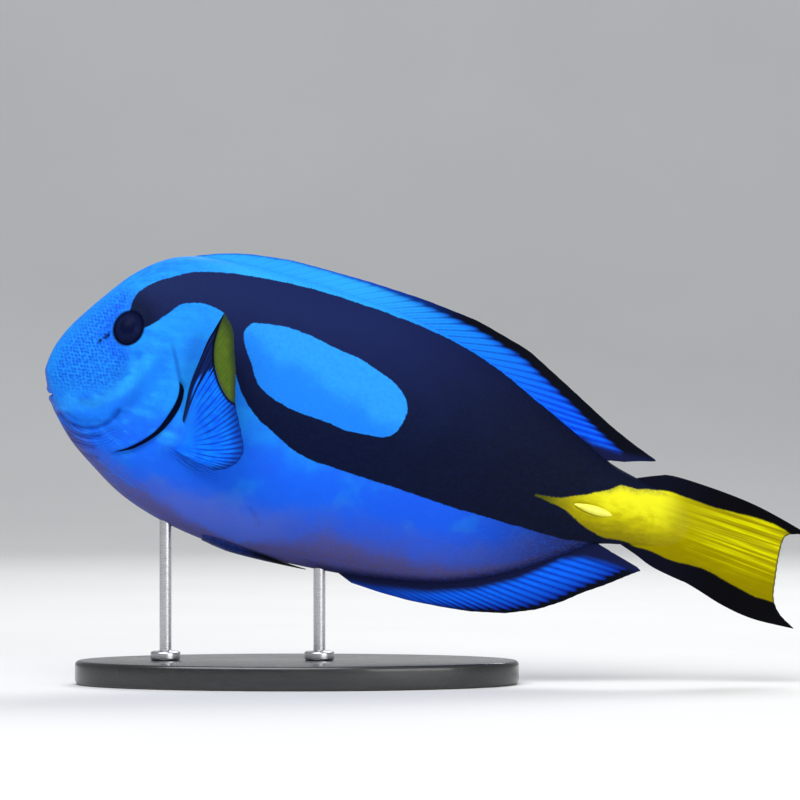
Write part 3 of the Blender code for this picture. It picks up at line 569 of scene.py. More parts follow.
def gill_relief(seen):
    """The cover's raised edge over the open slit, the crease above it as painted shade, and how deep in the
    slit.
    """
    edge = smooth_line(GILL_EDGE, 6)[:, ::-1]
    v = seen[:, 1]
    is_behind = seen[:, 0] > np.interp(v, edge[::-1, 1], edge[::-1, 0])
    behind = distance_to(seen, edge) * np.where(is_behind, 1, -1)
    top, foot = GILL_OPEN
    opened = rise(v, foot - 1.5, foot + 3) * (1 - rise(v, top - 2, top + 2))
    cover = np.where(behind < 0, np.exp(-(behind / COVER_REACH) ** 2), 1 - rise(behind, 0, SLIT_LIP))
    floor = np.exp(-(behind / SLIT_REACH) ** 2) * rise(behind, 0, SLIT_LIP)
    strength = opened + UPPER_CREASE * rise(v, 6, 12) * (1 - rise(v, 26, 34))
    crease = 0.65 * rise(v, 7, 10) * (1 - rise(v, 16, 24)) * np.exp(-((behind - 0.2) / 0.8) ** 2)
    wide = (1.25 + 0.65 * np.exp(-((v + 2) / 7) ** 2)) * opened - 0.3 * (1 - opened)
    slit = np.minimum(behind + 0.1, wide - behind)
    return strength * (COVER_RISE * cover - SLIT_DEPTH * floor), crease, slit


def nostril_relief(points):
    """Two small rimmed pits on each side of the snout, and how much painted shade lies in them."""
    out, hollow = np.zeros(len(points)), np.zeros(len(points))
    for at_u, at_v, length, width, lean, depth in NOSTRILS:
        along, off = turned_about(points, at_u, at_v, lean)
        away = np.hypot(along / length, off / width)
        out += NOSTRIL_RIM * np.exp(-((away - 1.5) / 0.4) ** 2) - depth * (1 - rise(away, 0.4, 1.15))
        hollow = np.maximum(hollow, 1 - rise(away, 0.5, 1.2))
    return out, hollow


def mouth_relief(points, y):
    """Two lips round the mouth's slit, and how much painted shade lies in it."""
    in_front = 1 - rise(points[:, 0], 6.5, 9.0)
    across = np.clip(y / MOUTH_HALF_WIDTH, 0, 2)
    out = np.zeros(len(points))
    for at_v, up, thick in LIPS:
        line_v = at_v + (MOUTH_V - at_v) * across ** 2
        swell = np.exp(-((points[:, 2] - line_v) / thick) ** 2)
        out += up * in_front * (1 - rise(across, 0.75, 1.15)) * swell
    gape = np.exp(-((points[:, 2] - MOUTH_V) / MOUTH_GAPE) ** 2)
    slit = in_front * (1 - rise(across, 0.88, 1.06)) * gape
    return out - MOUTH_DEPTH * slit, rise(slit, 0.25, 0.8)


def fold_relief(seen, y):
    """The soft folds of cheek, chin and belly: a groove with a low bank beside it, and painted shade in it.
    """
    out, crease = np.zeros(len(seen)), np.zeros(len(seen))
    for line, depth, width, dark in FOLDS:
        away = distance_to(seen, smooth_line(line, 6))
        groove = np.exp(-(away / width) ** 2)
        bank = FOLD_BANK * np.exp(-((away - 1.8 * width) / width) ** 2)
        out += depth * rise(y, 0.5, 4) * (bank - groove)
        crease = np.maximum(crease, dark * groove)
    return out, crease


def wrinkle_values(seen):
    """How strong the fine wrinkles are at each point, and how far it lies across their bundle."""
    bundle, across_bundle = np.zeros(len(seen)), np.zeros(len(seen))
    for line, half in WRINKLES:
        path = smooth_line(line, 6)
        away = distance_to(seen, path)
        above = seen[:, 1] > np.interp(seen[:, 0], path[:, 0], path[:, 1])
        inside = (1 - rise(away, 0.4 * half, half)) * rise(seen[:, 0], path[0, 0], path[0, 0] + 3)
        across_bundle = np.where(inside > bundle, np.where(above, away, -away), across_bundle)
        bundle = np.maximum(bundle, inside)
    return bundle, across_bundle


def flesh_relief(points):
    """The mound at the pectoral fin's root, and the groove that the tail spine folds into."""
    at_u, at_v, wide, tall, lean, height = MOUND
    along, off = turned_about(points, at_u, at_v, lean)
    mound = height * np.exp(-(along / wide) ** 2 - (off / tall) ** 2)
    along = (points[:, 0] - SPINE_AT[0]) / (SPINE_LENGTH / 2 + 0.5)
    dip = math.tan(math.radians(SPINE_DIP))
    off = (points[:, 2] - SPINE_AT[1] + (points[:, 0] - SPINE_AT[0]) * dip) / GROOVE_HALF_WIDTH
    away = np.hypot(along, off)
    groove = GROOVE_DEPTH * (1 - rise(away, 0.55, 1.1)) - GROOVE_BANK * np.exp(-((away - 1.3) / 0.25) ** 2)
    return mound - groove * (1 - rise(along, 0.0, 0.9))


def skin_relief(points):
    """How far each point of the skin stands out of the plain body, and what its finish needs."""
    seen, y = as_seen(points), np.abs(points[:, 1])
    eye = np.array([EYE_AT[0], side(*EYE_AT), EYE_AT[1]])
    from_eye = np.linalg.norm((np.c_[points[:, 0], y, points[:, 2]] - eye) / (1, 1, EYE_TALL), axis=1)
    orbit = ORBIT_RISE * np.exp(-((from_eye - SOCKET_RADIUS - 0.75) / 0.55) ** 2)
    orbit -= SOCKET_DEPTH * (1 - rise(from_eye, SOCKET_RADIUS - 0.7, SOCKET_RADIUS))
    gill, gill_crease, slit = gill_relief(seen)
    nostrils, nostril_hollow = nostril_relief(points)
    mouth, mouth_hollow = mouth_relief(points, y)
    folds, crease = fold_relief(seen, y)
    bundle, across_bundle = wrinkle_values(seen)
    out = gill + orbit + nostrils + mouth + folds + flesh_relief(points)
    return out, {"hollow": np.maximum(nostril_hollow, mouth_hollow), "slit": slit,
                 "socket": SOCKET_RADIUS - from_eye, "crease": np.maximum(crease, gill_crease),
                 "bundle": bundle, "across_bundle": across_bundle}


def make_skin(skin_finish):
    """The whole hide as one closed mesh, with what its finish reads kept on its points."""
    grid = skin_grid(ring_rows())
    normals = grid_normals(grid, wrapped=True)
    if (normals[:, :, 1] * grid[:, :, 1]).sum() < 0:
        normals = -normals
    out, relief_values = skin_relief(grid.reshape(-1, 3))
    tips = [(PROFILE[0, 0], 0, PROFILE[0, 1]), (PROFILE[-1, 0], 0, PROFILE[-1, 1])]
    plain = np.vstack([grid.reshape(-1, 3), tips])
    points, faces = closed_tube(grid + normals * out.reshape(grid.shape[:2] + (1,)), tips)
    seen = as_seen(plain)
    values = marking_values(plain)
    values.update({key: np.r_[value, -9, -9] for key, value in relief_values.items()})
    values["bundle"] = np.maximum(values["bundle"], 0)
    low = plain[:, 2] - body_at(plain[:, 0])[1]
    values["keel"] = np.minimum(KEEL_HEIGHT - low, (plain[:, 0] - KEEL_FROM) / 4)
    values["violet"] = 1 - low / np.interp(plain[:, 0], *np.array(VIOLET_REACH).T)
    values["dusk"] = 1 - low / np.interp(plain[:, 0], *np.array(DUSK_REACH).T)
    values["crest"] = body_at(plain[:, 0])[0] - plain[:, 2]
    values["face"] = depth_inside(seen, closed_line(FACE_EDGE, 3))
    values["fish"] = np.c_[seen, np.abs(plain[:, 1])]
    return piece("skin", points, faces, skin_finish, values)


def gold_nodes(tree, given):
    """The yellow of stalk and tail fin: a painted highlight along the stalk's upper half, painted shade and
    its own mustard below, then long streaks that fan out with the rays."""
    where = given["Where"]
    along, up = split(tree, where)[:2]
    brushed = noise(tree, mapped(tree, where, (0.2, 0.45, 1)), 1.0, 3.0, 0.55)
    upward = reckon(tree, "ADD", up, spread(tree, along, 200.0, 255.0, 0.0, 7.0))
    upward = reckon(tree, "ADD", upward, spread(tree, brushed, 0.25, 0.75, -1.6, 1.6))
    # lighter upwards as a painted highlight
    gold = turn_to(tree, YELLOW, PAINTED_LIGHT_YELLOW, upward, -3.0, 4.0, 0.9)
    # mustard low on the stalk, partly painted shade, and at the wedge's point and the stalk's end
    for low, high, amount, height in ((1.0, -9.0, 0.92, upward), (194.0, 178.0, 0.62, along),
                                      (208.0, 219.0, 0.68, along)):
        gold = blend(tree, spread(tree, height, low, high, 0.0, amount), gold, MUSTARD)
    past = reckon(tree, "MAXIMUM", reckon(tree, "SUBTRACT", along, STREAKS_FROM), 0.0)
    fan = reckon(tree, "DIVIDE", reckon(tree, "MULTIPLY_ADD", past, 0.117, up),
                 reckon(tree, "MULTIPLY_ADD", past, 0.0041, 1.0))
    lines = node(tree, "ShaderNodeCombineXYZ", {0: times(tree, fan, 0.85), 1: times(tree, along, 0.012)})
    streaks = noise(tree, lines.outputs[0], 1.0, 3.0, 0.6)
    dark = times(tree, spread(tree, streaks, 0.55, 0.38, 0.0, 0.8), spread(tree, past, 0.0, 32.0))
    gold = blend(tree, dark, gold, MUSTARD)
    bright = times(tree, spread(tree, streaks, 0.47, 0.6), spread(tree, past, 10.0, 36.0))
    return [blend(tree, times(tree, bright, spread(tree, up, -15.0, -2.0)), gold, BRIGHT_YELLOW)]


tail_gold = shader_group("tail_gold", {"Where": "Vector"}, {"Color": "Color"}, gold_nodes)


def flank_colours(tree, along, up, cloud, wavy_up):
    """Blue that deepens down, partly as painted shade, and back, with violet over the belly."""
    # darker downwards, partly the fish's own colour and partly painted shade
    blue = turn_to(tree, FACE_BLUE, FLANK_BLUE, wavy_up, 6.0, -16.0)
    blue = turn_to(tree, blue, FLANK_REAR, along, 85.0, 130.0, 0.8)
    blue = turn_to(tree, blue, BELLY_DEEP, up, -16.0, -36.0, 0.35)
    blue = turn_to(tree, blue, FLANK_REAR, cloud, 0.52, 0.34, 0.3)
    blue = turn_to(tree, blue, FACE_BLUE, cloud, 0.52, 0.70, 0.3)
    # the violet lighter about the pelvis, partly a painted highlight
    from_pelvis = reckon(tree, "ABSOLUTE", reckon(tree, "SUBTRACT", along, 66.0))
    violet = turn_to(tree, BELLY_VIOLET, BELLY_DEEP, from_pelvis, 10.0, 34.0, 0.6)
    drift = times(tree, reckon(tree, "SUBTRACT", cloud, 0.5), 0.7)
    for key, tint in (("violet", violet), ("dusk", BELLY_DUSK)):
        reach = reckon(tree, "ADD", stored(tree, key), drift)
        blue = turn_to(tree, blue, tint, reach, 0.0, 0.6, 0.85)
    return blue


def cheek_colours(tree, where, along, up, sheen, blue):
    """Painted sheen and shade on the head; a painted highlight bow and shade fold ring the cheek below the
    eye.
    """
    on_head = spread(tree, along, 52.0, 30.0)
    above_chin = spread(tree, up, -24.0, -6.0, 0.25, 1.0)
    light = times(tree, spread(tree, sheen, 0.48, 0.68, 0.0, 0.4), on_head)
    shade = times(tree, spread(tree, sheen, 0.52, 0.32, 0.0, 0.6), on_head)
    blue = blend(tree, times(tree, light, above_chin), blue, PAINTED_HIGHLIGHT_BLUE)
    blue = blend(tree, shade, blue, PAINTED_SHADE_BLUE)
    # rings round the brow: a bow of painted highlight, then a fold of painted shade
    ring = how_far(tree, mapped(tree, where, (1, 1, 0), shift=(-ROUND_FACE[0], -ROUND_FACE[1], 0)))
    ring = reckon(tree, "ADD", ring, spread(tree, sheen, 0.25, 0.75, -1.2, 1.2))
    below_eye = times(tree, spread(tree, up, 19.0, 12.0), spread(tree, along, 2.0, 8.0))
    fold = times(tree, spread(tree, ring, 30.3, 33.0), spread(tree, ring, 38.0, 34.0, 0.0, 0.65))
    blue = blend(tree, times(tree, fold, below_eye), blue, PAINTED_SHADE_BLUE)
    bow = times(tree, spread(tree, ring, 25.3, 27.6), spread(tree, ring, 31.6, 28.6, 0.0, 0.7))
    bow = times(tree, times(tree, bow, below_eye), spread(tree, along, 6.0, 22.0, 0.5, 1.0))
    return blend(tree, bow, blue, PAINTED_HIGHLIGHT_BLUE)


def back_colours(tree, where, along, up, wavy_up, mottle, blue):
    """The oval on the flank, the dusk towards the tail, and the blue bands of crest and keel."""
    in_oval = times(tree, spread(tree, up, 4.0, 6.0), spread(tree, along, 55.0, 60.0))
    low_front = reckon(tree, "MULTIPLY_ADD", reckon(tree, "SUBTRACT", 88.0, along), 0.35,
                       reckon(tree, "SUBTRACT", 24.0, wavy_up))
    oval = turn_to(tree, OVAL_BLUE, SNOUT_BLUE, low_front, 0.0, 9.0, 1.0)
    blue = blend(tree, in_oval, blue, oval)
    blue = turn_to(tree, blue, FLANK_BLUE, mottle, 0.35, 0.75, 0.2)
    blue = turn_to(tree, blue, REAR_DUSK, along, 135.0, 190.0, 0.9)
    below_crest = stored(tree, "crest")
    crest = times(tree, spread(tree, below_crest, 8.0, 5.0), spread(tree, along, 35.0, 60.0))
    crest_blue = use_group(tree, back_blue, {"Where": where})[0]
    # the top of the crest a little darker, a painted shade that offsets its highlight
    crest_blue = turn_to(tree, crest_blue, BACK_MIDDLE, below_crest, 2.6, 0.4, 0.22)
    blue = blend(tree, crest, blue, crest_blue)
    return turn_to(tree, blue, KEEL_DUSK, stored(tree, "keel"), -2.6, 0.6, 0.85)


def snout_colours(tree, where, sheen, blue):
    """The rows of sensory pits on the snout, dark partly as painted shade, and how deep each place lies in
    one.
    """
    rows = mapped(tree, mapped(tree, where, turn=PIT_SLANT), PIT_SCALE, math.pi / 4)
    cells = node(tree, "ShaderNodeTexVoronoi", {"Vector": rows, "Scale": 1.0, "Randomness": 0.5},
                 voronoi_dimensions="2D").outputs["Distance"]
    pit = times(tree, spread(tree, cells, 0.56, 0.16),
                spread(tree, noise(tree, where, 0.8, 2.0), 0.35, 0.62, 0.45, 1.0))
    # a painted highlight on the flesh before the pectoral root
    root = mapped(tree, where, (1, 1, 0), shift=(-ROOT_LIGHT[0], -ROOT_LIGHT[1], 0))
    root = how_far(tree, mapped(tree, root, (0.13, 0.30, 0), -0.25))
    lit = times(tree, spread(tree, root, 1.0, 0.2, 0.0, 0.8), spread(tree, sheen, 0.3, 0.6, 0.4, 1.0))
    blue = blend(tree, lit, blue, PAINTED_HIGHLIGHT_BLUE)
    face = stored(tree, "face")
    on_face = spread(tree, face, -3.5, 3.0)
    pit = times(tree, pit, spread(tree, face, -3.5, 4.0, 0.0, 0.85))
    blue = blend(tree, on_face, blue, SNOUT_BLUE)
    # painted shade on the face round the eye
    by_eye = times(tree, spread(tree, stored(tree, "socket"), -7.5, -1.5, 0.0, 0.7), on_face)
    blue = blend(tree, by_eye, blue, FLANK_BLUE)
    # the skin between the pits lighter as a painted highlight, the pits darker, partly as painted shade
    blue = blend(tree, times(tree, spread(tree, cells, 0.5, 0.85, 0.0, 0.4), on_face), blue, PAINTED_HIGHLIGHT_BLUE)
    return blend(tree, pit, blue, DOT_BLUE), pit


def palette_colours(tree, along, wavy_up, fleck):
    """The black of the palette shape, bluer above and browner behind."""
    black = turn_to(tree, PALETTE_BLACK, PALETTE_BACK, wavy_up, 0.0, 44.0)
    black = turn_to(tree, black, PALETTE_REAR, along, 95.0, 180.0, 0.9)
    black = turn_to(tree, black, PALETTE_BACK, fleck, 0.3, 1.0, 0.16)
    return turn_to(tree, black, PALETTE_BLACK, stored(tree, "socket"), -9.0, -1.0, 0.85)


def wedge_colours(tree, where, along, up, mottle):
    """The yellow wedge, dim at its point and dusty along its upper edge."""
    gold = use_group(tree, tail_gold, {"Where": where})[0]
    gold = turn_to(tree, gold, WEDGE_SHADE, along, 182.0, 170.0, 0.9)
    dusty = times(tree, spread(tree, stored(tree, "yellow"), 2.6, 0.2, 0.0, 0.75), spread(tree, up, 3.0, 6.0))
    return blend(tree, times(tree, dusty, spread(tree, mottle, 0.25, 0.7, 0.3, 1.0)), gold, DUSTY_YELLOW)


def fish_skin_finish():
    made, tree, surface = finish("fish_skin", 0.5, shine=WET_SHINE, glint=BLUE_GLINT)
    where = stored(tree, "fish", vector=True)
    along, up = split(tree, where)[:2]
    cloud = noise(tree, where, 0.09, 3.0)
    mottle = noise(tree, where, 0.7, 3.0, 0.6)
    sheen = noise(tree, mapped(tree, where, (0.05, 0.42, 1), -0.95), 1.0, 4.0, 0.6)
    scales = use_group(tree, fine_scales, {"Where": where, "Per mm": 1.7})
    wavy_up = reckon(tree, "ADD", up, times(tree, reckon(tree, "SUBTRACT", cloud, 0.5), 14.0))

    blue = flank_colours(tree, along, up, cloud, wavy_up)
    blue = cheek_colours(tree, where, along, up, sheen, blue)
    blue = back_colours(tree, where, along, up, wavy_up, mottle, blue)
    blue, pit = snout_colours(tree, where, sheen, blue)
    blue = blend(tree, spread(tree, scales["Shade"], 0.5, 1.0, 0.0, 0.16), blue, FLANK_BLUE)
    black = palette_colours(tree, along, wavy_up, scales["Shade"])
    hide = blend(tree, ragged(tree, stored(tree, "dark"), where, 0.2, 0.6), blue, black)
    in_yellow = ragged(tree, stored(tree, "yellow"), where, 0.35, 0.7)
    hide = blend(tree, in_yellow, hide, wedge_colours(tree, where, along, up, mottle))

    # painted shade in the folds, the crease above the gill slit and the fine wrinkles
    hide = blend(tree, stored(tree, "crease"), hide, CREASE_SHADE, "MULTIPLY")
    wobble = reckon(tree, "MULTIPLY_ADD", noise(tree, where, 0.35, 2.0), 1.6, stored(tree, "across_bundle"))
    wave = reckon(tree, "COSINE", times(tree, wobble, 2 * math.pi / WRINKLE_SPACING))
    wrinkle = times(tree, spread(tree, wave, 0.35, 1.0), stored(tree, "bundle"))
    wrinkle = times(tree, wrinkle, spread(tree, cloud, 0.35, 0.6, 0.25, 0.7))
    hide = blend(tree, wrinkle, hide, CREASE_SHADE, "MULTIPLY")
    # painted shade inside the nostrils, the mouth and the open gill slit
    hide = blend(tree, times(tree, stored(tree, "hollow"), 0.85), hide, HOLLOW_SHADE)
    hide = turn_to(tree, hide, HOLLOW_SHADE, stored(tree, "slit"), -0.1, 0.15)
    # painted shade in the gap round the eye
    hide = turn_to(tree, hide, SOCKET_SHADE, stored(tree, "socket"), -1.0, 0.0)
    tree.links.new(hide, surface.inputs["Base Color"])
    tree.links.new(spread(tree, mottle, 0.2, 0.8, 0.42, 0.6), surface.inputs["Roughness"])
    height = reckon(tree, "ADD", times(tree, scales["Height"], 0.5),
                    times(tree, reckon(tree, "ADD", pit, wrinkle), -0.8))
    relief(tree, surface, height, 0.00011)
    return made


fish_skin = fish_skin_finish()
ridden(make_skin(fish_skin), ("head", "trunk", "tail_stalk"))

# The eyes. Each is a dark glassy ball sunk in its socket, with a flat black pupil under the cornea
# and a very dark iris, so that from a step away it reads as one black bead.
EYE_RADIUS = 5.1
EYE_THICKNESS = 3.4
CORNEA_BULGE = 0.35
EYE_SINK = 1.5
PUPIL_RADIUS = 2.5
EYE_SIDES = 64
EYE_RINGS = 34
IRIS_DARK = (0.0035, 0.006, 0.034, 1)
IRIS_BLUE = (0.0045, 0.0085, 0.044, 1)
IRIS_RIM = (0.0035, 0.0055, 0.028, 1)
PUPIL_BLACK = (0.0026, 0.0045, 0.028, 1)


def on_side(u, v, lean=0.0, out=0.0):
    """The frame of a piece set on the right side at u, v: its y points out, its x runs along."""
    step = 0.5
    slope_u = float(side(u + step, v) - side(u - step, v)) / (2 * step)
    slope_v = float(side(u, v + step) - side(u, v - step)) / (2 * step)
    normal = Vector((-slope_u, 1, -slope_v)).normalized()
    forward = Vector((1, slope_u, 0)).normalized()
    turn = Matrix((forward, normal, forward.cross(normal))).transposed().to_4x4()
    spot = Vector((u, float(side(u, v)), v)) + normal * out
    return Matrix.Translation(spot) @ turn @ Matrix.Rotation(math.radians(-lean), 4, "Y")


def both_sides(name, points, faces, finish_used, values, on_right):
    """A piece for the right side and its mirror image for the left."""
    for word, flip in (("right", 1), ("left", -1)):
        spots = np.c_[points, np.ones(len(points))] @ np.array(on_right).T
        spots[:, 1] *= flip
        turned = faces if flip > 0 else [tuple(reversed(f)) for f in faces]
        made = piece(f"{name}_{word}", spots[:, :3], turned, finish_used, values)
        ridden(made, [f"{name}_{word}"])


def eye_mesh():
    """A flattened ball whose front bulges a little where the cornea is."""
    polar = np.linspace(0, np.pi, EYE_RINGS + 2)[1:-1]
    turn = 2 * np.pi * np.arange(EYE_SIDES) / EYE_SIDES
    radius, out = np.sin(polar)[:, None], np.cos(polar)[:, None]
    bulge = CORNEA_BULGE * np.exp(-(radius / 0.55) ** 2) * (out > 0)
    rings = np.stack([EYE_RADIUS * radius * np.cos(turn), EYE_THICKNESS * out + bulge + 0 * turn,
                      -EYE_RADIUS * EYE_TALL * radius * np.sin(turn)], 2)
    points, faces = closed_tube(rings, [(0, EYE_THICKNESS + CORNEA_BULGE, 0), (0, -EYE_THICKNESS, 0)])
    return points, [tuple(reversed(f)) for f in faces]


def eye_finish():
    made, tree, surface = finish("eye_bead", 0.45, coat=0.025, coat_roughness=0.2, shine=0.03,
                                 glint=BLUE_GLINT)
    where = stored(tree, "bead", vector=True)
    x, y, z = split(tree, where)
    squares = reckon(tree, "ADD", reckon(tree, "POWER", x, 2.0), reckon(tree, "POWER", z, 2.0))
    away = reckon(tree, "SQRT", squares)
    spoke = node(tree, "ShaderNodeCombineXYZ", {0: reckon(tree, "ARCTAN2", z, x), 1: times(tree, away, 0.15)})
    spokes = noise(tree, spoke.outputs[0], 6.0, 3.0)
    iris = turn_to(tree, IRIS_DARK, IRIS_BLUE, spokes, 0.3, 0.7)
    iris = turn_to(tree, iris, IRIS_RIM, away, 3.6, 4.6)
    colour = blend(tree, spread(tree, away, PUPIL_RADIUS, PUPIL_RADIUS + 0.2), PUPIL_BLACK, iris)
    tree.links.new(colour, surface.inputs["Base Color"])
    return made


eye_points, eye_faces = eye_mesh()
both_sides("eye", eye_points, eye_faces, eye_finish(), {"bead": eye_points},
           on_side(*EYE_AT, out=-EYE_SINK))

# The tail spines. One on each side of the stalk, a hard yellow lancet that lies folded forward in
# its groove, hinged at its rear end.
SPINE_HEIGHT = 3.0
SPINE_THICKNESS = 2.3
SPINE_SINK = -0.25
SPINE_HINGE_SINK = 0.45
SPINE_RINGS = 40
SPINE_SIDES = 24
HORN_YELLOW = (0.88, 0.84, 0.04, 1)
HORN_PALE = (0.95, 0.93, 0.16, 1)


def spine_mesh():
    """A lancet, broad in the middle and sunk towards its hinge."""
    share = np.linspace(0, 1, SPINE_RINGS + 2)[1:-1, None]
    turn = 2 * np.pi * np.arange(SPINE_SIDES) / SPINE_SIDES
    swell = np.sin(np.pi * share ** 1.15) ** 0.62
    edge = np.sign(np.cos(turn)) * np.abs(np.cos(turn)) ** 1.2
    rings = np.stack([(share - 0.5) * SPINE_LENGTH + 0 * turn, SPINE_THICKNESS / 2 * swell * np.sin(turn),
                      SPINE_HEIGHT / 2 * swell * edge], 2)
    points, faces = closed_tube(rings, [(-SPINE_LENGTH / 2, 0, 0), (SPINE_LENGTH / 2, 0, 0)])
    points[:, 1] -= SPINE_HINGE_SINK * rise(points[:, 0], -SPINE_LENGTH / 6, SPINE_LENGTH / 2)
    return points, faces


def spine_finish():
    made, tree, surface = finish("tail_spine_horn", 0.3, coat=0.3, coat_roughness=0.15, shine=0.4)
    where = stored(tree, "lancet", vector=True)
    grain = noise(tree, mapped(tree, where, (0.4, 3, 3)), 2.0, 3.0)
    colour = turn_to(tree, HORN_YELLOW, HORN_PALE, grain, 0.3, 0.7)
    tree.links.new(colour, surface.inputs["Base Color"])
    relief(tree, surface, grain, 0.00003)
    return made


spine_points, spine_faces = spine_mesh()
both_sides("tail_spine", spine_points, spine_faces, spine_finish(), {"lancet": spine_points},
           on_side(*SPINE_AT, lean=-SPINE_DIP, out=-SPINE_SINK))

# The fins' make. Each is a thin web of skin over bony rays that branch towards the edge. The web is
# a closed sheet, and the rays are tapered rods along lines in it, standing a little out of both faces.
WEB_ROOT = 0.75                 # thickness of the web at the body and at the edge
WEB_EDGE = 0.26
RAY_ROOT = 0.50                 # radius of a ray at the body and at its tip
RAY_TIP = 0.19
RAY_SIDES = 8
WEB_STEPS = 10                  # of the web from one ray to the next


def ray_tree():
    """Geometry nodes that sweep a round section along lines, as thick as each line says."""
    tree = bpy.data.node_groups.new("rays_along_lines", "GeometryNodeTree")
    tree.interface.new_socket("Lines", in_out="INPUT", socket_type="NodeSocketGeometry")
    inputs = {}
    for key, kind, value in (("Thickness", "NodeSocketFloat", 1.0), ("Sides", "NodeSocketInt", RAY_SIDES),
                             ("Finish", "NodeSocketMaterial", None)):
        inputs[key] = tree.interface.new_socket(key, in_out="INPUT", socket_type=kind)
        if value is not None:
            inputs[key].default_value = value
    tree.interface.new_socket("Rays", in_out="OUTPUT", socket_type="NodeSocketGeometry")
    given, result = tree.nodes.new("NodeGroupInput"), tree.nodes.new("NodeGroupOutput")
    thick = node(tree, "GeometryNodeInputNamedAttribute", {"Name": "thick"}, data_type="FLOAT")
    scaled = node(tree, "ShaderNodeMath", {0: thick.outputs[0], 1: given.outputs["Thickness"]},
                  operation="MULTIPLY")
    lines = node(tree, "GeometryNodeMeshToCurve", {0: given.outputs["Lines"]})
    section = node(tree, "GeometryNodeCurvePrimitiveCircle",
                   {"Resolution": given.outputs["Sides"], "Radius": 1.0})
    rods = node(tree, "GeometryNodeCurveToMesh",
                {"Curve": lines.outputs[0], "Profile Curve": section.outputs[0],
                 "Scale": scaled.outputs[0], "Fill Caps": True})
    real = node(tree, "GeometryNodeRealizeInstances", {0: rods.outputs[0]})
    done = node(tree, "GeometryNodeSetMaterial",
                {"Geometry": real.outputs[0], "Material": given.outputs["Finish"]})
    tree.links.new(done.outputs[0], result.inputs[0])
    return tree, {key: socket.identifier for key, socket in inputs.items()}


rays_along_lines, ray_inputs = ray_tree()


def swept_rays(lines, values, thickness, finish_used):
    """Runs the tree on lines given as lists of points, and returns points, faces and values."""
    mesh = bpy.data.meshes.new("lines")
    spots = np.vstack(lines)
    edges, first = [], 0
    for line in lines:
        edges += [(first + k, first + k + 1) for k in range(len(line) - 1)]
        first += len(line)
    mesh.from_pydata(spots.tolist(), edges, [])
    for key, value in values.items():
        mesh.attributes.new(key, "FLOAT", "POINT").data.foreach_set("value", np.asarray(value, np.float32))
    holder = bpy.data.objects.new("lines", mesh)
    bpy.context.scene.collection.objects.link(holder)
    modifier = holder.modifiers.new("rays", "NODES")
    modifier.node_group = rays_along_lines
    modifier[ray_inputs["Thickness"]] = thickness
    modifier[ray_inputs["Sides"]] = RAY_SIDES
    modifier[ray_inputs["Finish"]] = finish_used
    bpy.context.view_layer.update()
    swept = bpy.data.meshes.new_from_object(holder.evaluated_get(bpy.context.evaluated_depsgraph_get()))
    points = np.zeros(len(swept.vertices) * 3, np.float32)
    swept.vertices.foreach_get("co", points)
    got = {}
    for key in values:
        got[key] = np.zeros(len(swept.vertices), np.float32)
        swept.attributes[key].data.foreach_get("value", got[key])
    faces = [tuple(face.vertices) for face in swept.polygons]
    bpy.data.objects.remove(holder)
    bpy.data.meshes.remove(swept)
    return points.reshape(-1, 3), faces, got


def web_mesh(middle, halves):
    """A thin closed sheet about a grid of places, with its two faces joined round the rim."""
    count, length = middle.shape[:2]
    normals = grid_normals(middle, wrapped=False)
    points = np.vstack([(middle + sign * halves[:, :, None] * normals).reshape(-1, 3) for sign in (-1, 1)])
    a = (np.arange(count - 1)[:, None] * length + np.arange(length - 1)).ravel()
    quads = np.stack([a, a + length, a + length + 1, a + 1], 1)
    half = count * length
    faces = quads.tolist() + (quads[:, ::-1] + half).tolist()
    rim = [i * length for i in range(count)]
    rim += [(count - 1) * length + j for j in range(1, length)]
    rim += [i * length + length - 1 for i in range(count - 2, -1, -1)]
    rim += [j for j in range(length - 2, 0, -1)]
    faces += [(b, a, half + a, half + b) for a, b in zip(rim, rim[1:] + rim[:1])]
    return points, [tuple(reversed(f)) for f in faces]


def ray_branches(ray, rays, stiff_rays):
    """A ray's rods as start, end, the two ends' places beside its middle line, and thickness."""
    if ray < stiff_rays:
        return [(0.0, 1.0, 0.0, 0.0, 1.0)]
    rods = [(0.0, 0.42, 0.0, 0.0, 1.0)]
    for outer in (-1, 1):
        if not 0 <= ray + 0.3 * outer <= rays - 1:
            continue
        rods.append((0.40, 0.74, 0.02 * outer, 0.17 * outer, 0.75))
        for inner in (-1, 1):
            end = (0.23 + 0.12 * inner) * outer
            if 0 <= ray + end <= rays - 1:
                rods.append((0.72, 1.0, 0.165 * outer, end, 0.55))
    if ray in (0, rays - 1):
        rods.append((0.40, 1.0, 0.0, 0.0, 0.8))
    return rods


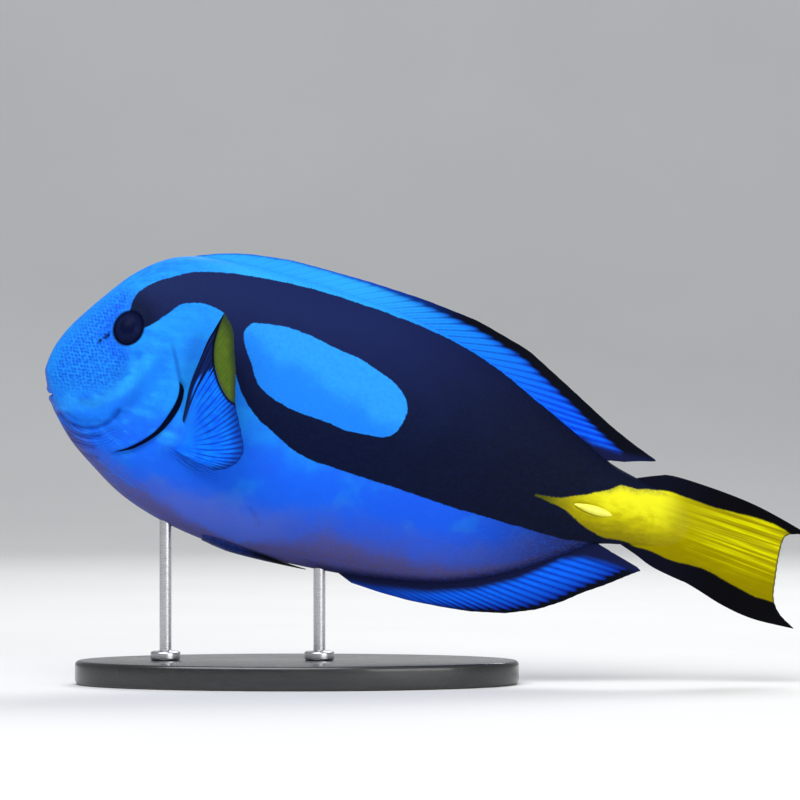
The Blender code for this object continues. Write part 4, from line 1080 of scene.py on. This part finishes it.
def fin(name, place_at, rays, stiff_rays, slot_name, finish_used, extra,
        web=1.0, thick=1.0, along_steps=44, scallop=0.12, root_rise=0.1):
    """A fin from place_at(across, s), where across counts rays and s runs from root to edge."""
    across = np.linspace(0, rays - 1, (rays - 1) * WEB_STEPS + 1)
    shares = np.linspace(0, 1, along_steps + 1)
    length = np.linalg.norm(place_at(across, 1 + 0 * across) - place_at(across, 0 * across), axis=1)
    short = scallop / np.maximum(length, 1.0) * (0.5 - 0.5 * np.cos(2 * np.pi * across))
    middle = place_at(across[:, None], shares * (1 - short[:, None]))
    halves = web * (WEB_ROOT * (1 - shares) + WEB_EDGE * shares)[None, :] / 2 + 0 * across[:, None]
    web_points, web_faces = web_mesh(middle, halves)
    web_values = [np.tile(np.repeat(across, along_steps + 1), 2), np.tile(shares, 2 * len(across))]
    lines, rod_values = [], {"ray": [], "along": [], "thick": []}
    rim = np.linspace(0, rays - 1, 40 * rays)
    rim = place_at(rim, 1 + 0 * rim)
    for ray in range(rays):
        inside = 1 - 0.3 / max(length[ray * WEB_STEPS], 2.0)
        for start, end, off_start, off_end, size in ray_branches(ray, rays, stiff_rays):
            s = np.linspace(start, min(end, inside), 16 if end - start < 0.5 else 26)
            t = (s - start) / (end - start)
            spots = place_at(ray + off_start + (off_end - off_start) * t, s)
            lines.append(spots)
            rod_values["ray"].append(ray + 0 * s)
            rod_values["along"].append(s)
            taper = (RAY_ROOT * (1 - s) + RAY_TIP * s) * size * rise(s, -0.2, root_rise)
            taper *= rise(t, -0.12, 0.12) * (1 - rise(t, 0.9, 1.05) * (end < 1))
            to_edge = np.linalg.norm(spots[:, None] - rim[None], axis=2).min(axis=1)
            rod_values["thick"].append(np.maximum(np.minimum(taper, 0.06 + 0.7 * to_edge), 0.08))
    rod_values = {key: np.concatenate(value) for key, value in rod_values.items()}
    rod_points, rod_faces, got = swept_rays(lines, rod_values, thick, finish_used)
    points = np.vstack([web_points, rod_points])
    faces = web_faces + [tuple(k + len(web_points) for k in face) for face in rod_faces]
    values = {"ray": np.r_[web_values[0], got["ray"]], "along": np.r_[web_values[1], got["along"]],
              "rod": np.r_[np.zeros(len(web_points)), np.ones(len(rod_points))]}
    values["fish"] = np.c_[as_seen(points), np.abs(points[:, 1])]
    values.update(extra(points))
    ridden(piece(name, points, faces, finish_used, values), [name])


def fin_height_nodes(tree, given):
    """A web's fine wrinkles and a ray's joints."""
    along = node(tree, "ShaderNodeCombineXYZ", {0: given["Along"]}).outputs[0]
    joints = node(tree, "ShaderNodeTexWave", {"Vector": along, "Scale": 14.0, "Distortion": 0.6})
    joints = times(tree, joints.outputs["Fac"], given["Rod"])
    wrinkle = noise(tree, given["Where"], 1.4, 3.0, 0.6)
    return [reckon(tree, "ADD", times(tree, wrinkle, 0.6), times(tree, joints, 0.5))]


fin_height = shader_group("fin_height", {"Where": "Vector", "Along": "Float", "Rod": "Float"},
                          {"Height": "Float"}, fin_height_nodes)


def branch_nodes(tree, given):
    """1 on a ray and 0 between two, where each ray splits in two towards the edge."""
    whole = reckon(tree, "SUBTRACT", 1.0, times(tree, reckon(tree, "PINGPONG", given["Ray"], 0.5), 2.0))
    halves = times(tree, reckon(tree, "PINGPONG", given["Ray"], 0.25), 4.0)
    parted = spread(tree, given["Along"], given["Split from"], given["Split to"])
    return [node(tree, "ShaderNodeMix", {0: parted, 2: whole, 3: halves}).outputs[0]]


branched_rays = shader_group("branched_rays", {"Ray": "Float", "Along": "Float", "Split from": "Float",
                                               "Split to": "Float"}, {"On ray": "Float"}, branch_nodes)


def fin_finish(name, colours, shine=WET_SHINE, glint=BLUE_GLINT):
    """A fin's surface: colours(tree, where, ray, along) gives its colour."""
    made, tree, surface = finish(name, 0.4, shine=shine, glint=glint)
    where = stored(tree, "fish", vector=True)
    ray, along, rod = (stored(tree, key) for key in ("ray", "along", "rod"))
    tree.links.new(colours(tree, where, ray, along), surface.inputs["Base Color"])
    height = use_group(tree, fin_height, {"Where": where, "Along": along, "Rod": rod})[0]
    relief(tree, surface, height, 0.00006)
    return made


# The dorsal and the anal fin. Long low keels of skin over many rays that lean back, blue with a
# black edge, their front rays unbranched spines.
DORSAL_SHAPE = [                # where a ray leaves the back, as u, and its tip, as u and v
    (38.5, 40.5, 51.3), (44.0, 48.4, 53.9), (50.0, 57.2, 55.7), (60.0, 71.2, 56.8),
    (70.0, 82.3, 56.4), (85.0, 98.8, 55.6), (100.0, 117.3, 54.0), (115.0, 136.4, 51.1),
    (130.0, 155.1, 45.3), (145.0, 171.1, 36.3), (160.0, 187.6, 26.8), (170.0, 195.9, 22.8),
    (175.0, 201.3, 20.5), (178.5, 205.5, 18.9), (181.5, 204.4, 18.5), (184.0, 200.0, 17.9),
    (186.2, 195.2, 16.4),
]
ANAL_SHAPE = [
    (108.5, 115.3, -43.6), (111.0, 124.0, -44.5), (115.0, 135.0, -45.0), (122.0, 146.4, -44.6),
    (130.0, 155.3, -44.0), (140.0, 167.3, -41.9), (150.0, 177.2, -38.3), (158.0, 184.7, -33.9),
    (165.0, 190.7, -29.4), (172.0, 197.8, -25.0), (178.0, 203.0, -21.3), (184.0, 206.3, -19.0),
    (187.0, 208.2, -17.9), (189.8, 206.8, -17.2),
]
FIN_BLUE = (0.003, 0.100, 0.80, 1)
FIN_BRIGHT = (0.004, 0.180, 0.96, 1)
MARGIN_BLUE = (0.004, 0.060, 0.50, 1)
FIN_DIM = (0.005, 0.045, 0.36, 1)
FIN_DEEP = (0.002, 0.016, 0.24, 1)
FIN_BLACK = (0.0020, 0.0021, 0.0045, 1)
ROOT_SINK = 1.2
# black edge of each fin: u along its outer edge, and how wide the black is there
DORSAL_BLACK = [(40, 0.2), (80, 0.4), (104, 0.9), (117, 1.5), (136, 2.4), (162, 3.2), (183, 3.7),
                (199, 4.8), (206, 6)]
ANAL_BLACK = [(108, 0.1), (135, 0.2), (150, 0.45), (165, 0.9), (180, 1.3), (195, 1.6), (209, 2.4)]
# where each fin's blue begins over the body, as u and v
DORSAL_HEEL = [(160, 20.0), (176, 20.0), (179, 20.9), (183, 19.4), (196, 18.5), (207, 18.9)]
ANAL_HEEL = [(108, -43.0), (122, -42.7), (140, -40.6), (155, -36.2), (168, -29.8), (176, -24.0), (181, -19.9),
             (188, -17.6), (196, -17.5), (205, -18.4), (212, -19)]


def keel_places(shape, rays, up):
    """Where each place of a keel lies, and its outer edge as a line."""
    table = np.array(shape)
    roots = np.linspace(table[0, 0], table[-1, 0], 400)
    tips = np.stack([np.interp(roots, table[:, 0], table[:, k]) for k in (1, 2)], 1)
    tips = smoothed(tips, 12, 6.0, mode="reflect", reflect_type="odd")

    def place_at(across, s):
        root_u = table[0, 0] + (table[-1, 0] - table[0, 0]) * across / (rays - 1)
        edge = body_at(root_u)[0 if up else 1]
        root = np.stack([root_u, edge - ROOT_SINK * (1 if up else -1)], -1)
        tip = np.stack([np.interp(root_u, roots, tips[:, k]) for k in (0, 1)], -1)
        flat = root + (tip - root) * s[..., None]
        wave = 0.25 * s ** 2 * np.sin(flat[..., 0] * 0.16)
        return np.stack([flat[..., 0], wave, flat[..., 1]], -1)

    return place_at, tips


def keel_values(tips, black, hem_at, heel, up):
    """How deep each point lies in the black edge, the dark hem and the blue heel."""
    def extra(points):
        flat = points[:, [0, 2]]
        width = np.interp(flat[:, 0], *np.array(black).T)
        beyond = np.interp(flat[:, 0], *np.array(heel).T) - flat[:, 1]
        return {"black": width - distance_to(flat, tips[::4]), "hem": rise(flat[:, 0], *hem_at),
                "heel": beyond if up else -beyond}
    return extra


def keel_nodes(tree, given):
    """Each ray a bright streak that narrows to a point in the black edge, with dark webs between."""
    hem, black, web_dark = given["Hem"], given["Black"], given["Web darkness"]
    bony = use_group(tree, branched_rays, {"Ray": given["Ray"], "Along": given["Along"],
                                           "Split from": 0.9, "Split to": 1.3})[0]
    mottle = noise(tree, given["Where"], 0.8, 3.0)
    core = times(tree, spread(tree, bony, 0.5, 1.0), spread(tree, mottle, 0.2, 0.8, 0.3, 0.9))
    blue = blend(tree, times(tree, core, hem), given["Blue"], FIN_BRIGHT)
    web = times(tree, spread(tree, bony, 0.45, 0.0),
                spread(tree, mottle, 0.3, 0.7, times(tree, web_dark, 0.7), web_dark))
    blue = blend(tree, times(tree, web, reckon(tree, "MULTIPLY_ADD", hem, 0.75, 0.25)), blue, FIN_DEEP)
    points = times(tree, reckon(tree, "POWER", reckon(tree, "SUBTRACT", 1.0, bony), 1.5), hem)
    points = times(tree, points, given["Comb"])
    near = reckon(tree, "MULTIPLY_ADD", points, 2.2, black)
    shade = spread(tree, near, -2.0, 0.8, 0.0, reckon(tree, "ADD", web_dark, 0.2))
    blue = blend(tree, times(tree, shade, reckon(tree, "MULTIPLY_ADD", hem, 0.8, 0.2)), blue, FIN_DEEP)
    blue = blend(tree, given["Deep"], blue, FIN_DEEP)
    edge = ragged(tree, reckon(tree, "ADD", points, black), given["Where"], 0.6, 0.6)
    blue = blend(tree, edge, blue, blend(tree, hem, MARGIN_BLUE, FIN_BLACK))
    return [blend(tree, spread(tree, given["Heel"], -1.8, 1.0), blue, KEEL_DUSK)]


keel_rays = shader_group(
    "keel_rays",
    {"Where": "Vector", "Blue": "Color", "Ray": "Float", "Along": "Float", "Hem": "Float", "Black": "Float",
     "Heel": "Float", "Web darkness": "Float", "Comb": "Float", "Deep": "Float"},
    {"Color": "Color"}, keel_nodes)


def keel_colours(tree, where, ray, along, blue, web_dark, comb, deep=0.0):
    named = {"Where": where, "Ray": ray, "Along": along, "Blue": blue, "Web darkness": web_dark,
             "Comb": comb, "Deep": deep}
    named.update({key.capitalize(): stored(tree, key) for key in ("hem", "black", "heel")})
    return use_group(tree, keel_rays, named)[0]


def dorsal_colours(tree, where, ray, along):
    blue = use_group(tree, back_blue, {"Where": where})[0]
    return keel_colours(tree, where, ray, along, blue, 0.62, 0.5)


def anal_colours(tree, where, ray, along):
    u = split(tree, where)[0]
    blue = turn_to(tree, FIN_DIM, FIN_BLUE, u, 122.0, 150.0)
    outward = times(tree, spread(tree, along, 0.35, 1.0, 0.0, 0.8), spread(tree, u, 135.0, 170.0, 0.2, 1.0))
    deep = reckon(tree, "MAXIMUM", outward, spread(tree, u, 182.0, 202.0, 0.0, 0.8))
    return keel_colours(tree, where, ray, along, blue, 0.9, 1.2, deep)


for keel_name, shape, rays, stiff, up, black, hem_at, heel, colours in (
        ("dorsal_fin", DORSAL_SHAPE, 36, 9, True, DORSAL_BLACK, (85, 135), DORSAL_HEEL, dorsal_colours),
        ("anal_fin", ANAL_SHAPE, 27, 3, False, ANAL_BLACK, (118, 160), ANAL_HEEL, anal_colours)):
    places, keel_tips = keel_places(shape, rays, up)
    fin(keel_name, places, rays, stiff, "fin_blue", fin_finish(keel_name, colours),
        keel_values(keel_tips, black, hem_at, heel, up), thick=0.9)

# The tail fin. A stiff shallow fork over branched rays that fan from the end of the stalk: yellow
# between two black lobes, with a thin clear edge behind.
CAUDAL_TOP = [(196.5, 10.6), (201.0, 12.2), (205.5, 13.7), (211.0, 15.0), (225.0, 14.0),
              (238.0, 12.2), (248.0, 9.8), (260.0, 6.2)]
CAUDAL_FOOT = [(196.5, -9.7), (201.0, -11.3), (205.5, -13.0), (212.0, -15.7), (225.0, -18.7),
               (237.0, -22.8), (248.0, -25.0), (262.0, -25.2)]
CAUDAL_MARGIN = [(260.0, 6.2), (255.0, 5.4), (252.2, 3.4), (251.8, -3.0), (252.3, -10.0),
                 (253.3, -17.0), (256.4, -21.6), (262.0, -25.2)]
CAUDAL_RAYS = 18
CAUDAL_ROOT = [(196.5, 10.6), (203, 9.0), (209, 6), (211.5, 0), (209, -6), (203, -8.3), (196.5, -9.7)]
CLEAR_EDGE = (0.12, 0.11, 0.012, 1)
GOLD_RAY = (0.34, 0.24, 0.001, 1)
GOLD_SHINE = 0.03
GOLD_GLINT = (0.8, 0.75, 0.2, 1)


def by_length(points, share, steps=14):
    """Places at shares of a smooth line's length."""
    line = smooth_line(points, steps)
    reach = np.r_[0, np.cumsum(np.linalg.norm(np.diff(line, axis=0), axis=1))]
    return np.stack([np.interp(share * reach[-1], reach, line[:, k]) for k in (0, 1)], -1)


def caudal_places(across, s):
    """Each place of the fork, drawn between root and margin and bent to the two lobes' edges."""
    share = across / (CAUDAL_RAYS - 1)
    start, end = by_length(CAUDAL_ROOT, share, 10), by_length(CAUDAL_MARGIN, share)
    along = s[..., None]
    flat = start * (1 - along) + end * along
    for edge, near in ((CAUDAL_TOP, 1 - share), (CAUDAL_FOOT, share)):
        chord = np.array(edge[0]) * (1 - along) + np.array(edge[-1]) * along
        flat = flat + (by_length(edge, s) - chord) * near[..., None] ** 2
    wave = 0.45 * s ** 2 * np.sin(flat[..., 1] * 0.28 + 0.8)
    return np.stack([flat[..., 0], wave, flat[..., 1]], -1)


def caudal_values(points):
    flat = points[:, [0, 2]]
    values = marking_values(np.c_[flat[:, 0], 0 * flat[:, 0], flat[:, 1]])
    values["rim"] = distance_to(flat, smooth_line(CAUDAL_MARGIN, 8))
    return values


def caudal_colours(tree, where, ray, along):
    u = split(tree, where)[0]
    phase = reckon(tree, "COSINE", times(tree, ray, 2 * math.pi))
    gold = use_group(tree, tail_gold, {"Where": where})[0]
    lines = times(tree, spread(tree, phase, 0.1, -0.9), spread(tree, u, 216.0, 240.0))
    gold = blend(tree, times(tree, lines, 0.22), gold, GOLD_RAY)
    in_yellow = ragged(tree, stored(tree, "yellow"), where, 0.35, 0.35)
    black = turn_to(tree, PALETTE_REAR, FIN_BLACK, u, 204.0, 235.0)
    colour = blend(tree, in_yellow, black, gold)
    clear = times(tree, spread(tree, stored(tree, "rim"), 0.8, 0.3), in_yellow)
    return blend(tree, clear, colour, CLEAR_EDGE)


tail_fin = fin_finish("tail_fin", caudal_colours, GOLD_SHINE, GOLD_GLINT)
fin("caudal_fin", caudal_places, CAUDAL_RAYS, 1, "fin_yellow", tail_fin, caudal_values,
    thick=0.9, along_steps=60, root_rise=0.35)

# The pectoral fins. Broad paddles raised and swung out from the flanks on a fleshy root, blue with
# dark rays, their upper rear corner olive yellow behind a dark line.
PECTORAL_ROOT = [(48.2, -3.4), (49.6, -6.6), (49.6, -9.8), (46.6, -13.4)]
PECTORAL_MARGIN = [(53.4, 34.5), (57.3, 30.0), (59.6, 22.6), (61.7, 15.5), (63.6, 6.5), (66.3, 0.5),
                   (68.7, -4.8), (70.0, -8.8), (69.0, -12.7), (66.0, -15.6), (62.0, -17.3)]
PECTORAL_LEAD = [(48.2, -3.4), (47.9, 5.0), (48.1, 11.7), (49.2, 18.3), (50.2, 24.4), (51.6, 28.9),
                 (53.4, 34.5)]
PECTORAL_BOW = [(0, 0), (0.15, 0.2), (0.35, 0.7), (0.6, 1.9), (0.85, 1.4), (1, 0)]   # share, sag of a ray
PECTORAL_OUTWARD = (0.24, 0.5)
PECTORAL_RAYS = 16
PECTORAL_SINK = 1.6
PECTORAL_BLUE = (0.003, 0.110, 0.86, 1)
PECTORAL_SHADE = (0.002, 0.022, 0.34, 1)
PECTORAL_ROOT_BLUE = (0.009, 0.195, 0.86, 1)
# darker towards the edge, partly the fin's own colour and partly painted shade
PECTORAL_RIM = (0.003, 0.016, 0.17, 1)
BAND_BLACK = (0.0025, 0.0035, 0.020, 1)
BAND_BLUE = (0.006, 0.008, 0.060, 1)
OLIVE_EDGE = [
    (53.9, 35.5), (52.8, 29), (52.7, 23), (54.1, 17.1), (56.6, 12.1), (59.9, 8.1), (63, 6.2), (68, 6),
    (66, 14), (62, 26), (57, 36),
]
DARK_EDGE = [                   # the dark front of the fin, between its leading edge and the olive
    (56, 36), (49, 27), (46, 12), (46, -5), (48.6, -4.4), (49.4, 2), (50.4, 8), (52.6, 12),
    (55.5, 15), (57, 19), (57, 24), (57, 30),
]
OLIVE = (0.055, 0.105, 0.010, 1)
OLIVE_BRIGHT = (0.090, 0.145, 0.014, 1)
OLIVE_SHADE = (0.018, 0.028, 0.014, 1)


def pectoral_places(across, s):
    """Each place of the right paddle, swung out from the flank and drawn as the camera sees it."""
    share = across / (PECTORAL_RAYS - 1)
    root, tip = by_length(PECTORAL_ROOT, share), by_length(PECTORAL_MARGIN, share)
    reach = tip - root
    length = np.linalg.norm(reach, axis=-1)
    sunk = -PECTORAL_SINK / length
    t = sunk + (1 - sunk) * s
    front, rear = PECTORAL_OUTWARD
    outward = front + (rear - front) * np.minimum(share * 2, 1)
    along = s[..., None]
    chord = np.array(PECTORAL_LEAD[0]) * (1 - along) + np.array(PECTORAL_LEAD[-1]) * along
    bow = np.interp(share, *np.array(PECTORAL_BOW).T) * np.sin(np.pi * s) / length
    flat = root + reach * t[..., None] + np.stack([reach[..., 1] * bow, -reach[..., 0] * bow], -1)
    flat = flat + (by_length(PECTORAL_LEAD, s) - chord) * (1 - share[..., None]) ** 2
    y = side(root[..., 0], root[..., 1]) + length * outward * t + 2.0 * np.sin(np.pi * np.clip(t, 0, 1))
    middle = seen_middle()
    flat = middle + (flat - middle) * ((VIEW_DISTANCE - y) / VIEW_DISTANCE)[..., None]
    return np.stack([flat[..., 0], y, flat[..., 1]], -1)


def pair_of_fins(name, place_at, rays, finish_used, extra, **settings):
    """The same fin on both flanks, its front ray stiff."""
    for word, sign in (("left", -1), ("right", 1)):
        def mirrored(across, s):
            return place_at(across, s) * np.array([1, sign, 1])
        fin(f"{name}_{word}", mirrored, rays, 1, "fin_blue", finish_used, extra, **settings)


def pectoral_values(points):
    seen = as_seen(points)
    return {"olive": depth_inside(seen, closed_line(OLIVE_EDGE, 4)),
            "front": depth_inside(seen, closed_line(DARK_EDGE, 4))}


def pectoral_colours(tree, where, ray, along):
    mottle = noise(tree, where, 0.3, 2.0)
    bony = use_group(tree, branched_rays, {"Ray": ray, "Along": along,
                                           "Split from": 0.45, "Split to": 0.75})[0]
    late = reckon(tree, "POWER", times(tree, ray, 1 / (PECTORAL_RAYS - 1)), 3.0)
    grown = spread(tree, along, 0.12, 0.55)
    root_blue = turn_to(tree, PECTORAL_ROOT_BLUE, PECTORAL_BLUE, late, 0.1, 0.7)
    blue = turn_to(tree, PECTORAL_BLUE, FIN_BRIGHT, mottle, 0.3, 0.7)
    blue = turn_to(tree, blue, root_blue, along, 0.4, 0.08, 0.9)
    for low, high, amount, tint in ((0.5, 0.0, 0.9, PECTORAL_SHADE), (0.6, 1.0, 0.5, FIN_BRIGHT)):
        blue = blend(tree, times(tree, spread(tree, bony, low, high, 0.0, amount), grown), blue, tint)
    # darker towards the edge, partly the fin's own colour and partly painted shade
    rim = reckon(tree, "MULTIPLY_ADD", bony, -0.10, along)
    blue = turn_to(tree, blue, PECTORAL_RIM, rim, 0.66, 0.96, 0.88)
    lit = times(tree, spread(tree, bony, 0.2, 0.8), spread(tree, along, 0.15, 0.5, 0.2, 2.2))
    lit = times(tree, lit, spread(tree, along, 0.9, 0.7, 0.15, 1.0))
    front = reckon(tree, "SUBTRACT", stored(tree, "front"), lit)
    band = turn_to(tree, BAND_BLACK, BAND_BLUE, bony, 0.4, 0.9)
    blue = turn_to(tree, blue, band, front, -0.5, 0.4, 0.95)
    blue = turn_to(tree, blue, band, ray, 0.4, 0.1, 0.9)
    olive = blend(tree, spread(tree, mottle, 0.25, 0.75, 0.2, 0.8), OLIVE, OLIVE_BRIGHT)
    olive = turn_to(tree, olive, OLIVE_SHADE, bony, 0.4, 0.0, 0.2)
    depth = stored(tree, "olive")
    line = times(tree, spread(tree, depth, -1.2, -0.4), spread(tree, depth, 0.3, -0.2))
    blue = blend(tree, line, blue, FIN_BLACK)
    olive = turn_to(tree, olive, OLIVE_SHADE, depth, 1.2, 0.0, 0.4)
    olive = turn_to(tree, olive, OLIVE_SHADE, along, 0.86, 1.0, 0.8)
    return turn_to(tree, blue, olive, depth, -0.25, 0.25)


pectoral_fin = fin_finish("pectoral_fin", pectoral_colours)
pair_of_fins("pectoral_fin", pectoral_places, PECTORAL_RAYS, pectoral_fin, pectoral_values,
             thick=0.7, web=0.85, root_rise=0.6)

# The pelvic fins. A slender pair, folded flat back along the belly, dark blue with black tips.
PELVIC_RAYS = 4
PELVIC_SPAN = (63.0, 99.0)
PELVIC_INNER = 1.0
PELVIC_WIDTH = 4.6
PELVIC_DARK = (0.010, 0.016, 0.10, 1)
PELVIC_BLUE = (0.014, 0.035, 0.22, 1)


def pelvic_places(across, s):
    """Each place of a folded fin, laid a little off the belly's curve."""
    share = across / (PELVIC_RAYS - 1)
    u = PELVIC_SPAN[0] + (PELVIC_SPAN[1] - PELVIC_SPAN[0]) * s * (1 - 0.3 * share)
    width = PELVIC_WIDTH * (0.7 + 0.3 * np.sin(np.pi / 2 * np.minimum(3 * s, 1))) * (1 - 0.45 * s * s)
    y = PELVIC_INNER + width * share
    belly, half, middle = body_at(u)[1:]
    tuck = np.clip(np.abs(y) / half, 0, 1) ** (1 / CREST_SHARPNESS)
    v = middle - (middle - belly) * np.sqrt(1 - tuck ** 2)
    return np.stack([u, y, v - 0.15 - 0.75 * np.minimum(4 * s, 1)], -1)


def pelvic_colours(tree, where, ray, along):
    mottle = noise(tree, where, 0.8, 3.0)
    blue = turn_to(tree, PELVIC_DARK, PELVIC_BLUE, mottle, 0.3, 0.7)
    return turn_to(tree, blue, FIN_BLACK, along, 0.35, 0.85)


pelvic_fin = fin_finish("pelvic_fin", pelvic_colours)
pair_of_fins("pelvic_fin", pelvic_places, PELVIC_RAYS, pelvic_fin, lambda points: {},
             thick=0.7, web=0.8, scallop=0.1)

# The stand. An oval base of black lacquered wood with an eased edge, and two turned steel rods with
# collars that reach up into the belly.
BASE_SIZE = (148.0, 78.0, 8.0)
BASE_EASE = 1.6
ROD_RADIUS = 2.0
COLLAR_RADIUS = 5.0
COLLAR_HEIGHT = 3.0
COLLAR_EASE = 0.8
ROD_RISE = 1.5                  # how far a rod runs on into the belly
LACQUER_BLACK = (0.008, 0.008, 0.009, 1)
LACQUER_GRAIN = (0.016, 0.0155, 0.016, 1)
STEEL_GREY = (0.50, 0.50, 0.52, 1)
STEEL_LIGHT = (0.66, 0.66, 0.68, 1)


def turned(name, profile, sides, finish_used, place, oval=(1, 1)):
    """A profile of radius and height turned about z, closed on the axis at both ends."""
    turn = 2 * np.pi * np.arange(sides) / sides
    rings = np.array(profile, float)
    radius, z = rings[:, :1], rings[:, 1:]
    grid = np.stack([radius * np.cos(turn) * oval[0], radius * np.sin(turn) * oval[1], z + 0 * turn], 2)
    points, faces = closed_tube(grid, [(0, 0, rings[0, 1]), (0, 0, rings[-1, 1])])
    made = piece(name, points, faces, finish_used, {"turned": points}, place)
    made.data.set_sharp_from_angle(angle=math.radians(40))
    return made


def rounded(radius, height, ease):
    """A straight wall from z 0 to height with its upper and lower edges eased."""
    turn = np.linspace(0, np.pi / 2, 6)
    low = [(radius - ease + ease * math.sin(a), ease - ease * math.cos(a)) for a in turn]
    high = [(radius - ease + ease * math.cos(a), height - ease + ease * math.sin(a)) for a in turn]
    return low + high


def lacquer_finish():
    made, tree, surface = finish("black_lacquer", 0.3, coat=0.6, coat_roughness=0.12)
    where = stored(tree, "turned", vector=True)
    grain = noise(tree, mapped(tree, where, (0.05, 1.2, 1.2)), 1.0, 4.0, 0.6)
    colour = turn_to(tree, LACQUER_BLACK, LACQUER_GRAIN, grain, 0.35, 0.7)
    tree.links.new(colour, surface.inputs["Base Color"])
    rubbed = spread(tree, noise(tree, where, 0.06, 4.0), 0.3, 0.7, 0.24, 0.4)
    tree.links.new(rubbed, surface.inputs["Roughness"])
    relief(tree, surface, grain, 0.00004)
    return made


def steel_finish():
    made, tree, surface = finish("brushed_steel", 0.28, metallic=1.0)
    where = stored(tree, "turned", vector=True)
    lines = noise(tree, mapped(tree, where, (0.3, 0.3, 9)), 1.0, 3.0, 0.7)
    colour = turn_to(tree, STEEL_GREY, STEEL_LIGHT, lines, 0.3, 0.7)
    tree.links.new(colour, surface.inputs["Base Color"])
    tree.links.new(spread(tree, lines, 0.25, 0.75, 0.2, 0.38), surface.inputs["Roughness"])
    relief(tree, surface, lines, 0.00001)
    return made


lacquer, steel = lacquer_finish(), steel_finish()
base_middle = (base_low + base_high) / 2
base = turned("base", rounded(BASE_SIZE[0] / 2, BASE_SIZE[2], BASE_EASE), 160, lacquer,
              Matrix.Translation((base_middle.x, base_middle.y, base_low.z)) @ Matrix.Scale(MM, 4),
              (1, BASE_SIZE[1] / BASE_SIZE[0]))
ridden(base, ["stand_base"])
for word in ("front", "rear"):
    low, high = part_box(f"stand_rod_{word}")
    tall = (high.z - low.z) / MM + ROD_RISE
    profile = rounded(COLLAR_RADIUS, COLLAR_HEIGHT, COLLAR_EASE)
    profile += [(ROD_RADIUS + 0.3, COLLAR_HEIGHT), (ROD_RADIUS, COLLAR_HEIGHT + 0.3), (ROD_RADIUS, tall)]
    rod = turned(f"rod_{word}", profile, 48, steel,
                 Matrix.Translation(((low.x + high.x) / 2, (low.y + high.y) / 2, BASE_SIZE[2] * MM))
                 @ Matrix.Scale(MM, 4))
    ridden(rod, [f"stand_rod_{word}"])

# The room. A pale sweep of card under and behind the model, and soft studio lights: a broad one high
# in front, a weaker one at the tail, and one behind that rims the back.
SWEEP_WIDTH = 6.0               # metres, as are all lengths below
SWEEP_BACK = 1.3
SWEEP_BEND = 0.7
SWEEP_FRONT = -3.2
SWEEP_HEIGHT = 3.0
CARD_GREY = (0.70, 0.70, 0.70, 1)
CARD_PALE = (0.72, 0.72, 0.72, 1)
ROOM_LIGHT = (0.9, 0.95, 1.0, 1)
ROOM_STRENGTH = 0.38


def sweep():
    turn = np.linspace(0, np.pi / 2, 24)
    line = [(SWEEP_FRONT, 0.0)]
    line += [(SWEEP_BACK + SWEEP_BEND * math.sin(a), SWEEP_BEND - SWEEP_BEND * math.cos(a)) for a in turn]
    line += [(SWEEP_BACK + SWEEP_BEND, SWEEP_HEIGHT)]
    points = [(x, y, z) for y, z in line for x in (-SWEEP_WIDTH / 2, SWEEP_WIDTH / 2)]
    faces = [(2 * k, 2 * k + 1, 2 * k + 3, 2 * k + 2) for k in range(len(line) - 1)]
    card, tree, surface = finish("pale_card", 0.9)
    where = node(tree, "ShaderNodeTexCoord").outputs["Object"]
    colour = turn_to(tree, CARD_GREY, CARD_PALE, noise(tree, where, 6.0, 3.0), 0.3, 0.7)
    tree.links.new(colour, surface.inputs["Base Color"])
    return piece("sweep", points, faces, card, place=Matrix.Identity(4))


def softbox(name, at, aim, size, power):
    lamp = bpy.data.lights.new(name, "AREA")
    lamp.shape = "RECTANGLE"
    lamp.size, lamp.size_y = size
    lamp.energy = power
    made = bpy.data.objects.new(name, lamp)
    made.location = at
    made.rotation_euler = (Vector(aim) - Vector(at)).to_track_quat("-Z", "Y").to_euler()
    bpy.context.scene.collection.objects.link(made)


sweep()
softbox("key", (-0.35, -0.75, 1.15), (0, 0, 0.1), (1.2, 0.9), 17)
softbox("fill", (0.75, -1.0, 0.35), (0, 0, 0.09), (0.8, 0.6), 5)
softbox("rim", (0.25, 0.85, 0.95), (0, 0, 0.1), (0.8, 0.5), 9)
world = bpy.data.worlds.new("room")
bpy.context.scene.world = world
world.use_nodes = True
background = world.node_tree.nodes["Background"].inputs
background["Color"].default_value = ROOM_LIGHT
background["Strength"].default_value = ROOM_STRENGTH
